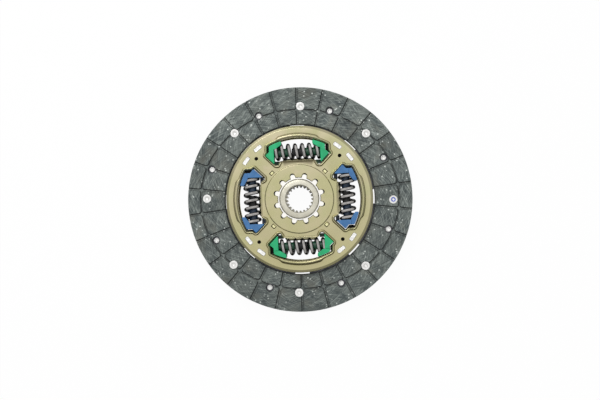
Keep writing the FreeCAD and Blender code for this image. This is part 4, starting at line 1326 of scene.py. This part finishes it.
def plated_finish():
    """Satin zinc, passivated yellow, with faint pink and green clouds and fine pressing marks. It is a little
    paler towards +Y, as painted light from that side, and dark where painted shade is marked on it."""
    look = Look("plated_sheet", tint(190, 184, 147), 0.3, 0.9)
    cloud = look.noise(42.0)
    look.clouded(cloud, 0.38, 0.62, tint(182, 179, 138), tint(195, 186, 155))
    look.paint(look.between(look.noise(75.0), 0.55, 0.72, 0.0, 0.5), tint(178, 184, 138))
    look.paint(look.between(look.noise(120.0), 0.6, 0.75, 0.0, 0.5), tint(202, 186, 166))
    look.paint(look.between(look.noise(260.0, 4.0, 0.6), 0.55, 0.8, 0.0, 0.25), tint(168, 160, 126))
    # Painted light: paler towards +Y, darker towards -Y, as lit from +Y
    lower = look.between(look.parts()[1], PLATE_R * MM, -PLATE_R * MM, 0.0, 0.75)
    look.paint(lower, tint(172, 166, 122))
    # Painted shade marked on the cover's points: in the windows' bends, at their edges and on slopes away
    # from the light
    look.paint(look.mark("shade"), tint(62, 54, 30), 0.85)
    return look.done(look.between(cloud, 0.3, 0.7, 0.24, 0.34), look.noise(2600.0, 2.0, 0.6), 0.012)


# Depths in the bore between which the painted shade grows to full
BORE_SHADE_FROM = 2.0              # depth in the bore
BORE_SHADE_FULL = 4.0


def turned_finish():
    """The hub's turned steel with fine rings round its axis. The splines below the mouth get painted shade,
    most on their side towards +Y, which faces away from the light. The flange outside the barrel is
    blackened, and its black also stands for the shade in the gaps between the plates."""
    look = Look("hub_steel", tint(208, 205, 192), 0.34, 0.85)
    x, y, z = look.parts()
    radius = look.length(look.vector(x, y))
    rings = look.noise(1.0, 2.0, 0.6, look.vector(look.times(radius, 2600.0), z))
    cloud = look.noise(160.0, 3.0, 0.6)
    look.clouded(cloud, 0.35, 0.7, tint(210, 207, 192), tint(190, 186, 170))
    # Blackened flange, which also serves as painted shade in the gaps around it
    blackened = look.between(radius, (HUB_R + 0.1) * MM, (HUB_R + 0.3) * MM)
    # Painted shade in the splined bore: below the mouth and on the side towards +Y
    bore = look.between(radius, (SPLINE_R + 0.9) * MM, (SPLINE_R + 0.6) * MM)
    deep = look.between(z, (HUB_HIGH - BORE_SHADE_FROM) * MM, (HUB_HIGH - BORE_SHADE_FULL) * MM)
    shaded_side = look.between(y, 0.0, 0.7 * SPLINE_R * MM)
    dark = look.larger(blackened, look.times(look.times(bore, deep), shaded_side))
    look.paint(dark, tint(26, 25, 23))
    rough = look.calc("MULTIPLY_ADD", dark, 0.25, look.between(rings, 0.3, 0.7, 0.28, 0.45))
    return look.done(rough, rings, 0.008)


PAINT_RING = (1.1, 1.35, 2.1, 2.4)  # radii where it begins, is full, begins to fade and ends


def rivet_finish():
    """Bright pressed steel, with painted shade greying the dimples' edges. One rivet has a ring of blue paint
    in its dimple."""
    look = Look("rivet_steel", tint(240, 240, 238), 0.36, 0.2)
    cloud = look.noise(420.0, 3.0, 0.6)
    look.clouded(cloud, 0.4, 0.7, tint(250, 250, 248), tint(228, 227, 224))
    # Painted shade round the dimples' edges
    look.paint(look.mark("dimple_shade"), tint(140, 138, 132), 0.6)
    painted = polar(RIVET_CIRCLE_R, HEAD_ANGLE) * MM
    x, y, z = look.parts()
    aside = [look.calc("SUBTRACT", value, float(middle)) for value, middle in zip((x, y), painted)]
    away = look.length(look.vector(*aside))
    start, full, fading, end = (r * MM for r in PAINT_RING)
    ring = look.times(look.between(away, start, full), look.between(away, end, fading))
    above = look.between(z, (FACING_FACE - 1.6) * MM, (FACING_FACE - 1.5) * MM)
    look.paint(look.times(ring, above), tint(52, 84, 190))
    return look.done(look.between(cloud, 0.3, 0.7, 0.26, 0.42), cloud, 0.02)


def moulded_finish(name, colour, deep):
    """Moulded plastic with a faint flow pattern and a fine grain. What is marked as shaded gets painted
    shade, nearly black.
    """
    look = Look(name, colour, 0.42)
    flow = look.noise(150.0, 3.0, 0.55)
    look.clouded(flow, 0.35, 0.7, colour, deep)
    # Painted shade where the points are marked as shaded
    look.paint(look.mark("shade"), tint(8, 12, 14), 0.85)
    return look.done(look.between(flow, 0.3, 0.7, 0.36, 0.5), look.noise(1800.0, 2.0, 0.6), 0.02)


def wire_finish():
    """Black wire with an oily finish, and a painted highlight along the outside of each turn where it faces
    up.
    """
    look = Look("spring_steel", tint(16, 16, 17), 0.5)
    cloud = look.noise(300.0, 3.0, 0.6)
    # Painted highlight: the grey below, with the wire's black laid over it away from the highlight
    painted_highlight = look.calc("ADD", look.mark("outer"), look.between(cloud, 0.3, 0.7, -0.07, 0.07))
    look.clouded(cloud, 0.4, 0.7, tint(176, 173, 170), tint(140, 138, 135))
    look.paint(look.between(painted_highlight, 0.86, 0.64), tint(9, 9, 10))
    return look.done(look.between(cloud, 0.3, 0.7, 0.45, 0.6), cloud, 0.02)


def metal_finish(look, scale, low, first, second, smoothest):
    """Plain sheet metal, whose colour and roughness vary with one noise."""
    cloud = look.noise(scale, 3.0, 0.6)
    look.clouded(cloud, low, 0.7, first, second)
    return look.done(look.between(cloud, 0.3, 0.7, smoothest, smoothest + 0.14), cloud, 0.02)


def cushion_finish():
    """Blued strip steel."""
    look = Look("cushion_steel", tint(92, 92, 94), 0.38, 0.85)
    return metal_finish(look, 110.0, 0.35, tint(98, 98, 100), tint(66, 68, 76), 0.32)


def ring_finish():
    """The thrust ring's pale yellow plating."""
    look = Look("plated_ring", tint(226, 222, 170), 0.4, 0.6)
    return metal_finish(look, 200.0, 0.4, tint(230, 226, 176), tint(206, 200, 150), 0.34)


def rubber_finish():
    look = Look("rubber", tint(34, 34, 34), 0.65)
    cloud = look.noise(900.0, 3.0, 0.6)
    look.clouded(cloud, 0.4, 0.7, tint(38, 38, 38), tint(24, 24, 24))
    return look.done(0.65, cloud, 0.04)


def finishes():
    return {
        "friction_lining": lining_finish(),
        "plated_sheet": plated_finish(),
        "hub_steel": turned_finish(),
        "rivet_steel": rivet_finish(),
        "white_bush": moulded_finish("white_bush", tint(255, 253, 248), tint(250, 247, 240)),
        "green_seat": moulded_finish("green_seat", tint(14, 180, 116), tint(4, 158, 100)),
        "blue_seat": moulded_finish("blue_seat", tint(62, 118, 172), tint(48, 100, 152)),
        "spring_steel": wire_finish(),
        "cushion_steel": cushion_finish(),
        "plated_ring": ring_finish(),
        "rubber": rubber_finish(),
    }


# Scene

def dress(name, material):
    """Gives a solid of the frame its finish."""
    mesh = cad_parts[name].data
    mesh.materials.clear()
    mesh.materials.append(material)


FLOOR_HALF = 2.5            # metres
FLOOR_GLOW = 0.96           # share of plain white in what is seen of the floor


def floor():
    """A white floor that the camera and glossy surfaces see as plain white, with a faint shadow."""
    corners = [(x * FLOOR_HALF, y * FLOOR_HALF, 0) for x, y in ((-1, -1), (1, -1), (1, 1), (-1, 1))]
    mesh = bpy.data.meshes.new("floor")
    mesh.from_pydata(corners, [], [(0, 1, 2, 3)])
    look = Look("floor", (0.9, 0.9, 0.9, 1.0), 0.9)
    rays = look.node("LightPath").outputs
    seen = look.larger(rays["Is Camera Ray"], rays["Is Glossy Ray"])
    seen = look.larger(seen, rays["Is Transmission Ray"])
    glow = look.node("Emission", {"Color": (1.0, 1.0, 1.0, 1.0), "Strength": 1.0}).outputs[0]
    lit = look.shader.outputs[0]
    mixed = look.node("MixShader", {0: look.times(seen, FLOOR_GLOW), 1: lit, 2: glow}).outputs[0]
    look.join(mixed, look.tree.nodes["Material Output"].inputs["Surface"])
    mesh.materials.append(look.material)
    thing = stand("floor", mesh)


SKY_LOW = 0.31
SKY_RISE = 0.85
SKY_LEAN = 0.31
SKY_LEAST = 0.02
LAMP_WATTS = 7.5
LAMP_SIZE = 0.7
LAMP_AT = (-0.43, 0.85, 1.1)


def light():
    """Soft light from above, darker towards the horizon and lightest there on the far side: for a direction
    (x, y, z) it is low + rise * z^2 + lean * y * (1 - z). One lamp stands on the far side."""
    world = bpy.data.worlds.new("studio")
    bpy.context.scene.world = world
    world.use_nodes = True
    sky = Graph(world.node_tree)
    way = sky.node("TexCoord").outputs["Generated"]
    _, y, z = sky.node("SeparateXYZ", {0: way}).outputs
    level = sky.calc("MULTIPLY_ADD", sky.times(z, z), SKY_RISE, SKY_LOW)
    lean = sky.times(sky.times(y, SKY_LEAN), sky.calc("SUBTRACT", 1.0, z))
    level = sky.larger(sky.calc("ADD", level, lean), SKY_LEAST)
    background = sky.tree.nodes["Background"].inputs
    sky.join(level, background["Strength"])
    sky.join((1.0, 1.0, 1.0, 1.0), background["Color"])
    lamp = bpy.data.lights.new("far_lamp", "AREA")
    lamp.size = LAMP_SIZE
    lamp.energy = LAMP_WATTS
    thing = stand("far_lamp", lamp)
    thing.location = LAMP_AT
    thing.rotation_euler = Vector(LAMP_AT).to_track_quat("Z", "Y").to_euler()


SENSOR = 36.0
PIXELS = 600
SCALE = 1.0035              # pixels per millimetre in the plane that is aimed at
DISTANCE = 850.0
TILT = 3.3
TILT_TOWARD = -35.0
AIM = (0.36, -0.99)         # what the middle of the picture shows, off the disc's axis


def camera():
    """Looks down on the disc from a little to one side, with +Y up in the picture."""
    lens = bpy.data.cameras.new("camera")
    lens.sensor_width = SENSOR
    lens.lens = SCALE * DISTANCE * SENSOR / PIXELS
    thing = stand("camera", lens)
    bpy.context.scene.camera = thing
    target = Vector((*AIM, FACING_FACE)) * MM
    aside = polar(math.sin(math.radians(TILT)), TILT_TOWARD)
    back = Vector((*aside, math.cos(math.radians(TILT))))
    right = Vector((0, 1, 0)).cross(back).normalized()
    up = back.cross(right)
    matrix = thing.matrix_world.copy()
    for column, axis in enumerate((right, up, back)):
        for row in range(3):
            matrix[row][column] = axis[row]
    matrix.translation = target + back * DISTANCE * MM
    thing.matrix_world = matrix


def build():
    looks = finishes()
    facings(looks["friction_lining"])
    facing_rivets(looks["rivet_steel"])
    segment_rivets(looks["rivet_steel"])
    spacers(looks["rivet_steel"])
    plates(looks["plated_sheet"])
    hub(looks["hub_steel"])
    bushes(looks["white_bush"])
    thrust_ring(looks["plated_ring"])
    spring_packs(looks)
    dress("cone_spring", looks["spring_steel"])
    for n in range(SEGMENTS):
        dress(f"cushion_segment_{n + 1}", looks["cushion_steel"])
    floor()
    light()
    camera()
    bpy.context.scene.view_settings.view_transform = "Standard"


build()
bpy.context.view_layer.update()
